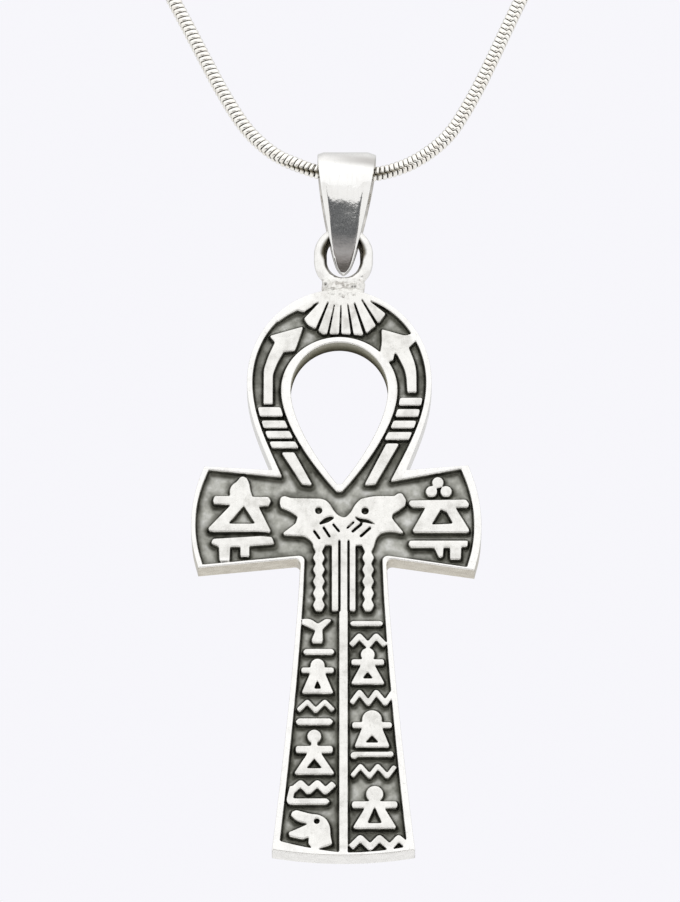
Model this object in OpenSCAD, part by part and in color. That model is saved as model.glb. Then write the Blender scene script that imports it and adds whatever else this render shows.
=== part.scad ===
// Ankh pendant: a cast plate with raised ornament, hung by a ring and a folded bail on a snake chain.
// Millimetres. The origin is the middle of the clasp at the nape, +Z is up and the front looks to -Y.

/* [Ankh plate] */
// Height of the cast plate from the top of its loop to its foot
plate_h = 48.8; // [42:0.1:56]
// Full thickness of the plate, from its back to the polished tops
plate_t = 2.9; // [2:0.1:3.2]
// Depth of the dark ground below the polished tops
ground_depth = 0.65; // [0.4:0.05:0.9]
// Width of the loop, outside
loop_w = 15.4; // [14.6:0.1:17]
// How far the loop's middle lies left of the stem's middle
loop_shift = 0.35; // [0:0.05:0.6]
// Drop from the top of the loop to its widest place
loop_widest_drop = 8; // [7.6:0.1:8.6]
// Drop from the top of the loop to the armpits
armpit_drop = 15.6; // [15:0.1:16.6]
// Half width of the loop at the armpits
armpit_x = 5.6; // [5.2:0.1:6]
// Reach of the left arm from the stem's middle
arm_reach_left = 12.7; // [12:0.1:14]
// Reach of the right arm from the stem's middle
arm_reach_right = 11.5; // [11:0.1:13]
// Height of the arms where they leave the stem
arm_root_h = 7.7; // [7:0.1:8.6]
// Height of the left arm at its flared end
arm_tip_left = 8.8; // [8.2:0.1:10]
// Height of the right arm at its flared end
arm_tip_right = 9.1; // [8.2:0.1:10]
// Width of the stem where it leaves the arms
stem_top_w = 7.2; // [6.6:0.1:8]
// Width of the stem at its foot
stem_foot_w = 11.9; // [10.4:0.1:13]

/* [Loop hole] */
// Width of the drop-shaped hole
hole_w = 8.1; // [7.4:0.1:8.6]
// Plate left above the hole
hole_top_band = 4.6; // [4.2:0.1:5]
// Drop from the hole's top to its widest place
hole_widest_drop = 4.1; // [3.8:0.1:4.4]
// Height of the hole, top to point
hole_h = 12.2; // [11.6:0.1:12.8]

/* [Raised rims] */
// Rim round the outside of the loop
loop_rim = 0.45; // [0.3:0.05:0.6]
// Rim round the hole, at its sides
hole_rim = 0.8; // [0.6:0.05:1]
// Rim over the top of the hole
hole_top_rim = 0.48; // [0.4:0.02:0.6]
// Rim along the top and bottom of the arms
arm_rim = 0.32; // [0.2:0.02:0.5]
// Rim in the left armpit, where the loop grows out of the arm
armpit_rim_left = 0.85; // [0.5:0.05:1.2]
// Rim in the right armpit
armpit_rim_right = 1.35; // [0.8:0.05:1.5]
// Rim across the end of the left arm
arm_end_rim_left = 0.35; // [0.25:0.05:0.8]
// Rim across the end of the right arm
arm_end_rim_right = 0.6; // [0.4:0.05:0.8]
// Rim beside the stem at its top
stem_rim_top = 0.35; // [0.25:0.05:0.5]
// Rim beside the stem at its foot
stem_rim_foot = 0.65; // [0.4:0.05:0.8]
// Rim under the foot, below the left column
foot_rim_left = 0.8; // [0.6:0.05:1]
// Rim under the foot, below the right column
foot_rim_right = 0.3; // [0.2:0.05:0.6]
// Width of the bar down the middle of the stem
middle_bar_w = 0.7; // [0.5:0.05:0.9]

/* [Ornament] */
// Width of the fine grooves in the raised ornament
groove_w = 0.2; // [0.16:0.02:0.26]
// Width across the two beaked heads
heads_w = 10.6; // [9.8:0.1:11.4]
// Height of the two beaked heads
heads_h = 3.8; // [3.4:0.1:4.2]
// Radius of the lotus fan from its apex
fan_r = 5.75; // [5.4:0.05:5.9]
// Stroke of the zigzag water lines
water_stroke = 0.42; // [0.3:0.02:0.5]

/* [Ring on the plate] */
// Wire of the soldered ring
ring_wire = 1.1; // [0.9:0.05:1.2]
// Width of the hole in the ring
ring_hole_w = 2.75; // [2.7:0.05:3]
// Height of the hole in the ring
ring_hole_h = 3.3; // [3.1:0.1:4.2]
// Gap between ring and plate that the solder fills
solder_gap = 0.3; // [0.1:0.05:0.5]
// Width of the solder where it meets the plate
solder_w = 3.8; // [3:0.1:4.6]

/* [Bail] */
// Width of the bail at its top
bail_w = 4.9; // [4.4:0.1:5.4]
// Thickness of the folded strip
bail_strip = 0.5; // [0.4:0.05:0.6]
// Inner radius of the round top
bail_inner_r = 2.2; // [2:0.05:2.5]
// Height of the hollow inside the bail
bail_hollow_h = 9.5; // [9.2:0.1:10]
// Solid closed tip below the hollow
bail_tip_h = 0.55; // [0.4:0.05:0.8]
// Height of the hollow's top above the chain's middle
chain_headroom = 1.23; // [1.15:0.01:1.4]

/* [Chain] */
// Thickness of the snake chain
chain_d = 1.2; // [1:0.05:1.3]
// Clearance of the chain in its caps
cap_clearance = 0.08; // [0.05:0.01:0.15]
// Wall of the end caps
cap_wall = 0.3; // [0.2:0.05:0.5]
// Length of the end caps
cap_l = 4; // [3:0.1:5]
// Wire of the eyes on the caps
eye_wire = 0.7; // [0.6:0.05:0.8]
// Outer width of the spring ring that closes the necklace
clasp_w = 6; // [5.6:0.1:7]
// Wire of the spring ring
clasp_wire = 1.2; // [1:0.05:1.3]
// Play between the spring ring and each eye
clasp_play = 0.1; // [0.08:0.01:0.14]

/* [Hidden] */

// Chain route, chosen by hand. The left half of the V, then the right half, as [x, height]
// above the chain's middle in the bail, and then the way round the neck to the nape, mirrored left.
bail_pass = [0, -88, -119];
v_left = [[-14.1, 14.8], [-11.55, 9.8], [-10.2, 7.2], [-8.65, 4.6], [-7.3, 2.95], [-5.6, 1.55],
    [-3.9, 0.75], [-2.4, 0.2], [-1.1, 0]];
v_right = [[0, -0.05], [1.1, -0.15], [2.4, -0.1], [3.9, 0.2], [5.6, 0.85], [7.2, 1.85], [8.6, 3.1],
    [9.7, 4.6], [11.15, 7.2], [12.4, 9.8], [14.7, 14.8]];
round_neck = [[20, -88, -93], [27, -88, -78.5], [34, -88, -64.5], [41, -87.5, -51],
    [47.5, -84.5, -39.5], [52.5, -78, -30], [55.5, -69, -22.5], [56.5, -58, -17],
    [55.5, -47, -12.5], [52.5, -36, -8.5], [47, -25.5, -5.5], [39, -15.5, -3],
    [29, -7.5, -1.4], [19, -2.3, -0.4], [12, -0.3, 0], [8.5, 0, 0]];
chain_sides = 8;

// Heights on the plate are measured down from the top of the loop, so they are negative.
widest_y = -loop_widest_drop;
armpit_y = -armpit_drop;
crotch_y = armpit_y - arm_root_h;
foot_bow = 0.5;
foot_y = foot_bow - plate_h;
stem_flare = 1.3;
crotch_fillet = 0.5;
// Each arm's end bows out between its corners, which lie in from its reach and share out its flare
end_top_in = 1.1;
end_foot_in = 0.6;
end_bulge = 0.8;
flare_up = 0.3;
armpit_rim_rise = 0.75;
hole_top_y = -hole_top_band;
hole_widest_y = hole_top_y - hole_widest_drop;
hole_tip_y = hole_top_y - hole_h;
hole_tip_rim = hole_rim * 0.85;
curve_steps = 12;
stem_steps = 8;
foot_steps = 5;

// Ring and bail: the bail's hollow is a round top with two legs that meet in a point.
ring_mid_r = (ring_hole_w + ring_wire) / 2;
ring_straight = ring_hole_h - ring_hole_w;
bail_outer_r = bail_inner_r + bail_strip;
bail_mid_z = chain_headroom - bail_inner_r;
leg_taper = asin(bail_inner_r / (bail_hollow_h - bail_inner_r));
bail_tip_z = chain_headroom - bail_hollow_h - bail_tip_h;
ring_tip_gap = 0.2;
ring_low_z = bail_tip_z - ring_tip_gap + ring_hole_w / 2;
ring_high_z = ring_low_z + ring_straight;
plate_top_z = ring_low_z - ring_mid_r - ring_wire / 2 - solder_gap;

// Caps and clasp lie in one line along X at the nape.
clasp_mid_r = (clasp_w - clasp_wire) / 2;
eye_inner_r = clasp_wire / 2 + 0.35;
eye_mid_r = eye_inner_r + eye_wire / 2;
eye_x = clasp_mid_r + eye_inner_r - clasp_wire / 2 - clasp_play;
cap_start_x = eye_x + eye_mid_r;
cap_floor = 0.8;
chain_end_x = cap_start_x + cap_floor + cap_clearance;
cap_outer_d = chain_d + 2 * (cap_clearance + cap_wall);

// Curve helpers
function flipped(points) = [for (p = points) [-p.x, p.y]];
function backwards(points) = [for (i = [len(points) - 1 : -1 : 0]) points[i]];
function bezier(p, t) =
    len(p) == 1 ? p[0] : bezier([for (i = [0 : len(p) - 2]) p[i] * (1 - t) + p[i + 1] * t], t);
function curve(p, steps) = [for (i = [0 : steps]) bezier(p, i / steps)];
function arc(middle, r, from, to, steps) =
    [for (i = [0 : steps]) let (a = from + (to - from) * i / steps) middle + r * [cos(a), sin(a)]];
// Points given as shares of a cell: x from -1 to 1 across it, y from 0 at its top down to 1
function in_cell(shares, top, half_w, h) = [for (p = shares) [top.x + p.x * half_w, top.y - p.y * h]];

// Outline of a stroke along a path
function unit(v) = v / norm(v);
function side_of(v) = [-v.y, v.x];
function miter(path, i) =
    let (a = unit(path[max(i, 1)] - path[max(i, 1) - 1]),
        last = len(path) - 1,
        b = unit(path[min(i, last - 1) + 1] - path[min(i, last - 1)]),
        n = unit(side_of(a + b)))
    n / (n * side_of(a));
function turn(path, i) = i == 0 || i == len(path) - 1 ? 0
    : cross(path[i] - path[i - 1], path[i + 1] - path[i]);
// The corner of a stroke on its left (side 1) or right (side -1): blunt outside a bend
function corner(path, i, side, w) = turn(path, i) * side >= 0
    ? [path[i] + side * w / 2 * miter(path, i)]
    : [for (n = [side_of(unit(path[i] - path[i - 1])), unit(miter(path, i)),
        side_of(unit(path[i + 1] - path[i]))]) path[i] + side * w / 2 * n];
function stroke(path, w) = concat(
    [for (i = [0 : len(path) - 1]) each corner(path, i, 1, w)],
    [for (i = [len(path) - 1 : -1 : 0]) each backwards(corner(path, i, -1, w))]);

// One side of a drop: a round top, then a curve down to a blunt point
drop_blunt = 0.2;
function drop_side(half_w, top_y, mid_y, tip_y) = concat(
    [for (i = [0 : curve_steps - 1]) let (a = 90 * i / curve_steps)
        [half_w * sin(a), mid_y + (top_y - mid_y) * cos(a)]],
    let (drop = mid_y - tip_y) curve([[half_w, mid_y], [half_w, mid_y - 0.27 * drop],
        [0.62 * half_w, mid_y - 0.64 * drop], [drop_blunt, tip_y]], curve_steps));
function drop(half_w, top_y, mid_y, tip_y) =
    let (side = drop_side(half_w, top_y, mid_y, tip_y))
    concat(backwards(flipped(side)), [for (i = [1 : len(side) - 1]) side[i]]);

// Right half of the loop from its top down to an armpit
function loop_side(half_w, top_y, pit) = concat(
    [for (i = [0 : curve_steps - 1]) let (a = 90 * i / curve_steps)
        [half_w * sin(a), widest_y + (top_y - widest_y) * cos(a)]],
    let (drop = widest_y - pit.y, spread = half_w - pit.x) curve([[half_w, widest_y],
        [half_w, widest_y - 0.35 * drop], [pit.x + 0.5 * spread, pit.y + 0.35 * drop], pit],
        curve_steps));

// Half width of the stem at a share of its length, and of the ground inside its rims
function stem_x(share) = (stem_top_w + (stem_foot_w - stem_top_w) * pow(share, stem_flare)) / 2;
function ground_x(share) = stem_x(share) - stem_rim_top - (stem_rim_foot - stem_rim_top) * share;
function stem_y(share) = crotch_y + (foot_y - crotch_y) * share;

// Right half of the plate's outline, from the armpit to the middle of the foot, for rims of a share
function arm_and_stem(reach, tip_h, end_rim, foot_rim, rim_share) =
    let (rim = arm_rim * rim_share,
        foot_lift = foot_rim * rim_share,
        end_x = reach - end_rim * rim_share,
        flare = tip_h - arm_root_h,
        tip_top = [end_x - end_top_in, armpit_y + flare_up * flare - rim],
        tip_foot = [end_x - end_foot_in, crotch_y - (1 - flare_up) * flare + rim],
        bulge = [end_x + end_bulge, (tip_top.y + tip_foot.y) / 2],
        crotch = [rim_share > 0 ? ground_x(0) : stem_x(0), crotch_y + rim],
        foot_x = rim_share > 0 ? ground_x(1) : stem_x(1),
        middle_lift = foot_rim_right * rim_share)
    concat(curve([tip_top, bulge, tip_foot], 6),
        curve([crotch + [crotch_fillet, 0], crotch, crotch - [0, crotch_fillet]], 4),
        [for (i = [1 : stem_steps]) let (share = i / stem_steps)
            [rim_share > 0 ? ground_x(share) : stem_x(share), stem_y(share) + foot_lift * share]],
        [for (i = [1 : foot_steps]) let (out = 1 - i / foot_steps)
            [foot_x * out, foot_y - foot_bow * (1 - out * out) + middle_lift
                + (foot_lift - middle_lift) * out]]);
function armpit(rim) = [armpit_x - rim, armpit_y - armpit_rim_rise * rim];
function half_plate(reach, tip_h, shift, armpit_rim, end_rim, foot_rim, rim_share) =
    let (loop = loop_side(loop_w / 2 - loop_rim * rim_share, -loop_rim * rim_share,
        armpit(armpit_rim * rim_share)))
    concat([for (p = loop) p + [shift, 0]], arm_and_stem(reach, tip_h, end_rim, foot_rim, rim_share));
function plate_outline(rim_share) =
    let (right = half_plate(arm_reach_right, arm_tip_right, -loop_shift, armpit_rim_right,
            arm_end_rim_right, foot_rim_right, rim_share),
        left = half_plate(arm_reach_left, arm_tip_left, loop_shift, armpit_rim_left,
            arm_end_rim_left, foot_rim_left, rim_share))
    concat([for (i = [1 : len(right) - 1]) right[i]],
        backwards(flipped([for (i = [0 : len(left) - 2]) left[i]])));

// Places between the rims of the loop, on one side, at a height: u is 0 at the hole, 1 outside
inner_rim_side = drop_side(hole_w / 2 + hole_rim, hole_top_y + hole_top_rim, hole_widest_y,
    hole_tip_y - hole_tip_rim);
outer_rim_left = loop_side(loop_w / 2 - loop_rim, -loop_rim, armpit(armpit_rim_left));
outer_rim_right = loop_side(loop_w / 2 - loop_rim, -loop_rim, armpit(armpit_rim_right));
function outer_rim(side) = side < 0 ? outer_rim_left : outer_rim_right;
function x_at(side, y) = lookup(y, [for (p = side) if (p.y <= side[curve_steps].y) [p.y, p.x]]);
function band(side, u, y) =
    [side * (x_at(inner_rim_side, y) * (1 - u) + x_at(outer_rim(side), y) * u) - loop_shift, y];
// Places over the top of the loop, at an angle from straight up
function over(side, u, angle) =
    let (a = round(angle / 90 * curve_steps * 4) / 4, i = floor(a), f = a - i,
        inner = inner_rim_side[i] * (1 - f) + inner_rim_side[i + 1] * f,
        outer = outer_rim(side)[i] * (1 - f) + outer_rim(side)[i + 1] * f,
        p = inner * (1 - u) + outer * u)
    [side * p.x - loop_shift, p.y];

// Ornament on the loop: the fan, with a groove between each two of its petals
fan_apex = [-0.1, 1.9];
fan_edges = [-36.5, 42];
// Each groove's angle, and its width as a share of the other grooves' width
fan_grooves = [[-21.5, 0.75], [-11.5, 0.5], [-1.8, 0.5], [8.2, 0.6], [18.2, 0.75], [30.5, 0.8]];
groove_start_r = 3.2;
fan_start_r = 1.4;
// How far the petals reach, as shares of the fan's radius at their angles
fan_reach = [[-36.5, 0.945], [-30, 0.995], [-22, 1.005], [-16, 1.04], [-8, 1.015], [0, 1], [8, 1.02],
    [17, 1.065], [19, 1.06], [24, 1.02], [31, 1], [42, 0.94]];
function fan_point(angle, r) = fan_apex + r * [sin(angle), -cos(angle)];
module fan() {
    polygon(concat([fan_point(fan_edges[1], fan_start_r), fan_point(fan_edges[0], fan_start_r)],
        [for (p = fan_reach) fan_point(p.x, fan_r * p.y)]));
}
module fan_cuts() {
    for (row = fan_grooves) let (start = fan_point(row[0], groove_start_r), w = [row[1] * groove_w, 0],
        end = fan_point(row[0], (lookup(row[0], fan_reach) + 0.04) * fan_r))
        polygon([start - w / 2, start + w / 2, end + w, end - w]);
    // The thin line between the first petal and the shoulder of the rim
    polygon([fan_point(-32.3, 3.6), fan_point(-35.8, 5.45), fan_point(-38, 5.45),
        fan_point(-37, 4.05), fan_point(-34, 3.6)]);
    // The dark crescent between the last petal and the rim
    polygon([fan_point(37, 3.45), fan_point(42.2, 5.4), over(1, 1, 34), over(1, 1.02, 18.75)]);
}

// Where the left rim widens beside the fan
module shoulder() {
    polygon([over(-1, 1.1, 8), over(-1, 1.2, 20), over(-1, 1.2, 34), over(-1, 1.1, 50),
        over(-1, 0.97, 45), over(-1, 0.93, 38), over(-1, 0.9, 30.4), over(-1, 0.79, 25.5),
        over(-1, 0.9, 14)]);
}

// An arrow on each side that leans inwards over the loop, and its shaft down the side
shaft_low = [0.36, 0.68];
module left_arrow() {
    low_y = armpit_y * 0.636;
    polygon([over(-1, 0.47, 30), over(-1, 0.91, 56), over(-1, 0.675, 57), over(-1, 0.645, 71),
        over(-1, 0.64, 81), band(-1, shaft_low[1], low_y), band(-1, shaft_low[0], low_y),
        over(-1, 0.325, 80.5), over(-1, 0.32, 71), over(-1, 0.32, 56), over(-1, 0.1, 46.5)]);
}
module right_arrow() {
    low_y = armpit_y * 0.57;
    polygon([over(1, 0.5, 35), over(1, 0.78, 52), over(1, 1.1, 58), over(1, 1.1, 61),
        over(1, 0.72, 61.5), over(1, 0.7, 75), band(1, shaft_low[1], low_y),
        band(1, shaft_low[0], low_y), over(1, 0.34, 75), over(1, 0.32, 60), over(1, 0.3, 57),
        over(1, 0.14, 60), over(1, -0.1, 57), over(1, -0.1, 46), over(1, 0.22, 42)]);
}

// Four bands across each side of the loop: side, start and height as shares of the drop to the armpit
band_rows = [[-1, 0.652, 0.052], [-1, 0.726, 0.042], [-1, 0.784, 0.041], [-1, 0.842, 0.037],
    [1, 0.6, 0.043], [1, 0.663, 0.043], [1, 0.727, 0.042], [1, 0.79, 0.043]];
band_u = [0.11, 0.91];
module bands() {
    for (row = band_rows) {
        top = armpit_y * row[1];
        low = armpit_y * (row[1] + row[2]);
        polygon([band(row[0], band_u[0], top), band(row[0], band_u[1], top),
            band(row[0], band_u[1], low), band(row[0], band_u[0], low)]);
    }
}
// The shafts below the bands: side, top share, inner and outer u, foot x as shares of the loop
lower_shafts = [[-1, 0.902, 0.33, 0.7, 0.29, 0.4], [1, 0.853, 0.25, 0.66, 0.27, 0.39]];
shaft_foot = 1.085;
module shafts() {
    for (row = lower_shafts) {
        side = row[0];
        top = armpit_y * row[1];
        low = armpit_y * shaft_foot;
        polygon([band(side, row[2], top), band(side, row[3], top),
            [side * row[5] * loop_w / 2 - loop_shift, low + 0.1],
            [side * row[4] * loop_w / 2 - loop_shift, low]]);
    }
}

// The two beaked heads, as shares of their half width and height, and the stalks below them
heads_top_y = armpit_y - 0.29 * arm_root_h;
head_left = [[-1, 0.17], [-0.985, 0.03], [-0.93, 0], [-0.8, 0.05], [-0.4, 0.06], [-0.28, 0.1],
    [-0.22, 0.18], [-0.15, 0.34], [-0.08, 0.44], [0, 0.49]];
head_right = [[0.05, 0.47], [0.12, 0.36], [0.19, 0.19], [0.27, 0.07], [0.42, 0.02], [0.8, 0],
    [0.86, -0.06], [0.92, -0.06], [0.985, 0.1], [0.97, 0.22], [0.85, 0.34], [0.77, 0.41],
    [0.76, 0.49], [0.8, 0.58], [0.96, 0.86], [0.93, 0.85], [0.7, 0.81], [0.58, 0.85],
    [0.52, 0.95], [0.48, 1.12]];
head_left_low = [[-0.47, 1.12], [-0.49, 1.06], [-0.56, 0.96], [-0.66, 0.91], [-0.93, 0.89], [-0.95, 0.84],
    [-0.75, 0.62], [-0.72, 0.47], [-0.82, 0.37], [-0.98, 0.27]];
module heads() {
    polygon(in_cell(concat(head_left, head_right, [[0, 1.12]], head_left_low),
        [0, heads_top_y], heads_w / 2, heads_h));
}
// Cuts in the heads: eyes, cheeks and cheek strokes, each stroke as from x, y, to x, y, width
eyes = [[-0.39, 0.33], [0.34, 0.34]];
eye_r = 0.31;
cheeks = [
    [[-0.38, 0.61], [-0.26, 0.48], [-0.19, 0.46], [-0.14, 0.5], [-0.22, 0.58], [-0.38, 0.66]],
    [[0.14, 0.43], [0.26, 0.51], [0.36, 0.53], [0.53, 0.66], [0.36, 0.61], [0.24, 0.57]]];
cheek_strokes = [[-0.47, 0.78, -0.37, 0.98, 1.1], [-0.32, 0.7, -0.21, 0.94, 1.1],
    [-0.17, 0.63, -0.06, 0.82, 1], [0.17, 0.58, 0.05, 0.74, 0.9], [0.29, 0.63, 0.13, 0.82, 1.2],
    [0.43, 0.71, 0.26, 0.93, 1.2]];
module head_cuts() {
    for (e = in_cell(eyes, [0, heads_top_y], heads_w / 2, heads_h)) translate(e) circle(eye_r, $fn = 12);
    for (c = cheeks) polygon(in_cell(c, [0, heads_top_y], heads_w / 2, heads_h));
    for (s = cheek_strokes) polygon(stroke(
        in_cell([[s[0], s[1]], [s[2], s[3]]], [0, heads_top_y], heads_w / 2, heads_h), s[4] * groove_w));
}

// Stalks that hang from the heads: two serrated necks, and three reeds side by side
stalk_top_y = heads_top_y - heads_h;
stalk_foot_y = stem_y(0.178);
stalk_overlap = 0.5;
neck_x = 2.05;
neck_w = 0.74;
neck_teeth = 6;
tooth_depth = 0.24;
reed_w = 0.55;
reed_rows = [[-1, 0.69], [1, 0.72]];
reed_gaps = [-0.34, 0.42];
function neck_edge(side) =
    let (step = (stalk_top_y - stalk_foot_y) / neck_teeth / 2)
    [for (i = [0 : 2 * neck_teeth]) [side * (neck_w / 2 + (i % 2 == 0 ? -tooth_depth / 2 : tooth_depth / 2)),
        stalk_top_y - i * step]];
module necks() {
    for (side = [-1, 1]) translate([side * neck_x, 0]) polygon(concat(
        [[-neck_w / 2, stalk_top_y + stalk_overlap]], neck_edge(-1), backwards(neck_edge(1)),
        [[neck_w / 2, stalk_top_y + stalk_overlap]]));
}
module reeds() {
    for (row = reed_rows) translate([row[0] * row[1] - reed_w / 2, stalk_foot_y])
        square([reed_w, stalk_top_y + stalk_overlap - stalk_foot_y]);
}
module reed_cuts() {
    for (x = reed_gaps) translate([x - groove_w / 2, stalk_foot_y])
        square([groove_w, stalk_top_y - stalk_foot_y]);
}
module middle_bar() {
    translate([-middle_bar_w / 2, foot_y - foot_bow])
        square([middle_bar_w, stalk_top_y + stalk_overlap - foot_y + foot_bow]);
}

// Signs on the arms: a skirted figure over a bench, in a cell of each arm's ground
arm_cell_top_y = armpit_y - 0.04 * arm_root_h;
left_cell_x = -0.665 * arm_reach_left;
right_cell_x = 0.705 * arm_reach_right;
arm_cell_w = 2.75;
dome = [[-0.36, 0.26], [-0.36, 0.175], [-0.3, 0.13], [-0.15, 0.085], [-0.06, 0.04], [0.03, 0.03],
    [0.14, 0.05], [0.21, 0.11], [0.24, 0.175], [0.31, 0.26]];
left_body = [[-0.83, 0.25], [-0.88, 0.3], [-0.85, 0.34], [-0.34, 0.35], [-1.02, 0.61], [-1, 0.64],
    [-0.9, 0.65], [0.5, 0.65], [0.84, 0.66], [0.86, 0.64], [0.5, 0.37], [0.8, 0.36], [0.87, 0.31],
    [0.8, 0.26], [0.32, 0.26], [0, 0.25]];
left_hole = [[0.05, 0.36], [-0.42, 0.56], [0.4, 0.56]];
left_bench = [[-0.88, 0.73], [-0.94, 0.78], [-0.7, 0.82], [-0.68, 0.98], [-0.38, 0.98],
    [-0.36, 0.82], [-0.05, 0.82], [-0.05, 0.93], [0.22, 0.93], [0.22, 0.81], [0.98, 0.79],
    [0.9, 0.71], [0.5, 0.7]];
right_body = [[-0.93, 0.3], [-0.98, 0.34], [-0.85, 0.38], [-0.46, 0.38], [-0.86, 0.64], [-0.8, 0.66],
    [0.84, 0.66], [0.86, 0.63], [0.44, 0.38], [0.82, 0.38], [0.86, 0.34], [0.76, 0.29]];
right_hole = [[0, 0.4], [-0.28, 0.57], [0.37, 0.56], [0.18, 0.43]];
right_bench = [[-0.94, 0.75], [-0.98, 0.79], [-0.9, 0.83], [-0.2, 0.83], [-0.05, 0.94], [0.06, 0.93],
    [0.08, 0.83], [0.28, 0.83], [0.28, 0.96], [0.6, 0.96], [0.62, 0.82], [0.8, 0.82],
    [0.82, 0.75]];
trefoil = [[-0.09, 0.1], [-0.28, 0.2], [0.16, 0.2]];
trefoil_r = 0.47;
module arm_signs() {
    for (sign = [dome, left_body, left_bench])
        polygon(in_cell(sign, [left_cell_x, arm_cell_top_y], arm_cell_w, arm_root_h));
    for (sign = [right_body, right_bench])
        polygon(in_cell(sign, [right_cell_x, arm_cell_top_y], arm_cell_w, arm_root_h));
    for (leaf = in_cell(trefoil, [right_cell_x, arm_cell_top_y], arm_cell_w, arm_root_h))
        translate(leaf) circle(trefoil_r, $fn = 12);
}
module arm_cuts() {
    polygon(in_cell(left_hole, [left_cell_x, arm_cell_top_y], arm_cell_w, arm_root_h));
    polygon(in_cell(right_hole, [right_cell_x, arm_cell_top_y], arm_cell_w, arm_root_h));
}

// Places in the two columns of the stem: u is 0 at the middle bar and 1 at the rim, and the
// share runs down the stem from the crotch to the foot
function column(side, u, share) =
    [side * (middle_bar_w / 2 + u * (ground_x(share) - middle_bar_w / 2)), stem_y(share)];
function column_w(share) = ground_x(share) - middle_bar_w / 2;
stem_h = crotch_y - foot_y;

// Skirted figures, a row each: side, top share, height share, middle u, half width u,
// head radius, arm height, waist and skirt half widths, and the hole's top, foot and half width
figures = [
    [-1, 0.342, 0.120, 0.517, 0.39, 0.43, 0.33, 0.45, 0.95, 0.6, 0.86, 0.22],
    [-1, 0.586, 0.154, 0.510, 0.38, 0.37, 0.44, 0.35, 1.06, 0.64, 0.86, 0.43],
    [1, 0.305, 0.125, 0.487, 0.40, 0.42, 0.39, 0.41, 1.00, 0.65, 0.84, 0.32],
    [1, 0.519, 0.128, 0.520, 0.43, 0.49, 0.40, 0.50, 0.86, 0.67, 0.87, 0.35],
    [1, 0.779, 0.147, 0.492, 0.42, 0.37, 0.44, 0.43, 0.93, 0.48, 0.87, 0.32]];
arm_share = 0.16;
function figure_top(row) = column(row[0], row[3], row[1] + row[2] / 2) + [0, stem_h * row[2] / 2];
function figure_half_w(row) = row[4] * column_w(row[1] + row[2] / 2);
function figure_outline(row) =
    let (r = figure_half_w(row) * row[5], top = figure_top(row), h = row[2] * stem_h,
        w = figure_half_w(row), neck = -h * (row[6] - arm_share / 2),
        head_low = max(-0.9, min(0.9, (neck + r) / r)), a = asin(head_low))
    concat([for (p = arc([0, -r], r, 180 - a, a, 10)) top + p],
        in_cell([[row[5] * cos(a), row[6] - arm_share / 2], [0.95, row[6] - arm_share / 2],
            [1, row[6]], [0.95, row[6] + arm_share / 2], [row[7], row[6] + arm_share / 2],
            [row[8], 0.96], [row[8] - 0.04, 1], [-row[8] + 0.04, 1], [-row[8], 0.96],
            [-row[7], row[6] + arm_share / 2], [-0.95, row[6] + arm_share / 2], [-1, row[6]],
            [-0.95, row[6] - arm_share / 2], [-row[5] * cos(a), row[6] - arm_share / 2]], top, w, h));
module figure_signs() {
    for (row = figures) polygon(figure_outline(row));
}
module figure_cuts() {
    for (row = figures) polygon(in_cell([[0, row[9]], [row[11], row[10]], [-row[11], row[10]]],
        figure_top(row), figure_half_w(row), row[2] * stem_h));
}

// Zigzag water lines, a row each: side, first and last u, high share, low share, points, and
// the stroke as a share of water_stroke
waters = [
    [-1, 0.92, 0.13, 0.520, 0.490, 5, 0.9],
    [-1, 0.90, 0.10, 0.797, 0.770, 6, 1.3],
    [1, 0.08, 0.95, 0.296, 0.264, 5, 1.1],
    [1, 0.08, 1.04, 0.495, 0.457, 6, 1.0],
    [1, 0.08, 0.94, 0.746, 0.711, 6, 0.9],
    [1, 0.05, 1.04, 0.990, 0.958, 7, 1.25]];
module water_lines() {
    for (row = waters) polygon(stroke([for (i = [0 : row[5] - 1])
        column(row[0], row[1] + (row[2] - row[1]) * i / (row[5] - 1), i % 2 == 0 ? row[3] : row[4])],
        water_stroke * row[6]));
}

// Bars with round ends, a row each: side, first and last u, top share, foot share
bars = [
    [-1, 0.115, 0.91, 0.308, 0.328],
    [-1, 0.13, 0.955, 0.547, 0.570],
    [-1, 0.17, 0.98, 0.822, 0.843],
    [1, 0.045, 0.947, 0.212, 0.229],
    [1, 0.07, 0.935, 0.662, 0.679]];
end_taper = 0.08;
module bar_signs() {
    for (row = bars) polygon([for (s = [[0, 0.5], [end_taper, 0], [1 - end_taper, 0], [1, 0.5],
        [1 - end_taper, 1], [end_taper, 1]])
        column(row[0], row[1] + (row[2] - row[1]) * s.x, row[3] + (row[4] - row[3]) * s.y)]);
}
// Knobs on the ends of the lowest right bar, and the limb that joins the low water line to its bar
knob_r = 0.3;
module knobs() {
    translate(column(1, 0.13, 0.674)) circle(knob_r, $fn = 12);
    translate(column(1, 0.87, 0.670)) circle(knob_r * 0.85, $fn = 12);
    polygon([column(-1, 0.98, 0.83), column(-1, 0.86, 0.83), column(-1, 0.84, 0.79),
        column(-1, 0.94, 0.775)]);
}

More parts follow.
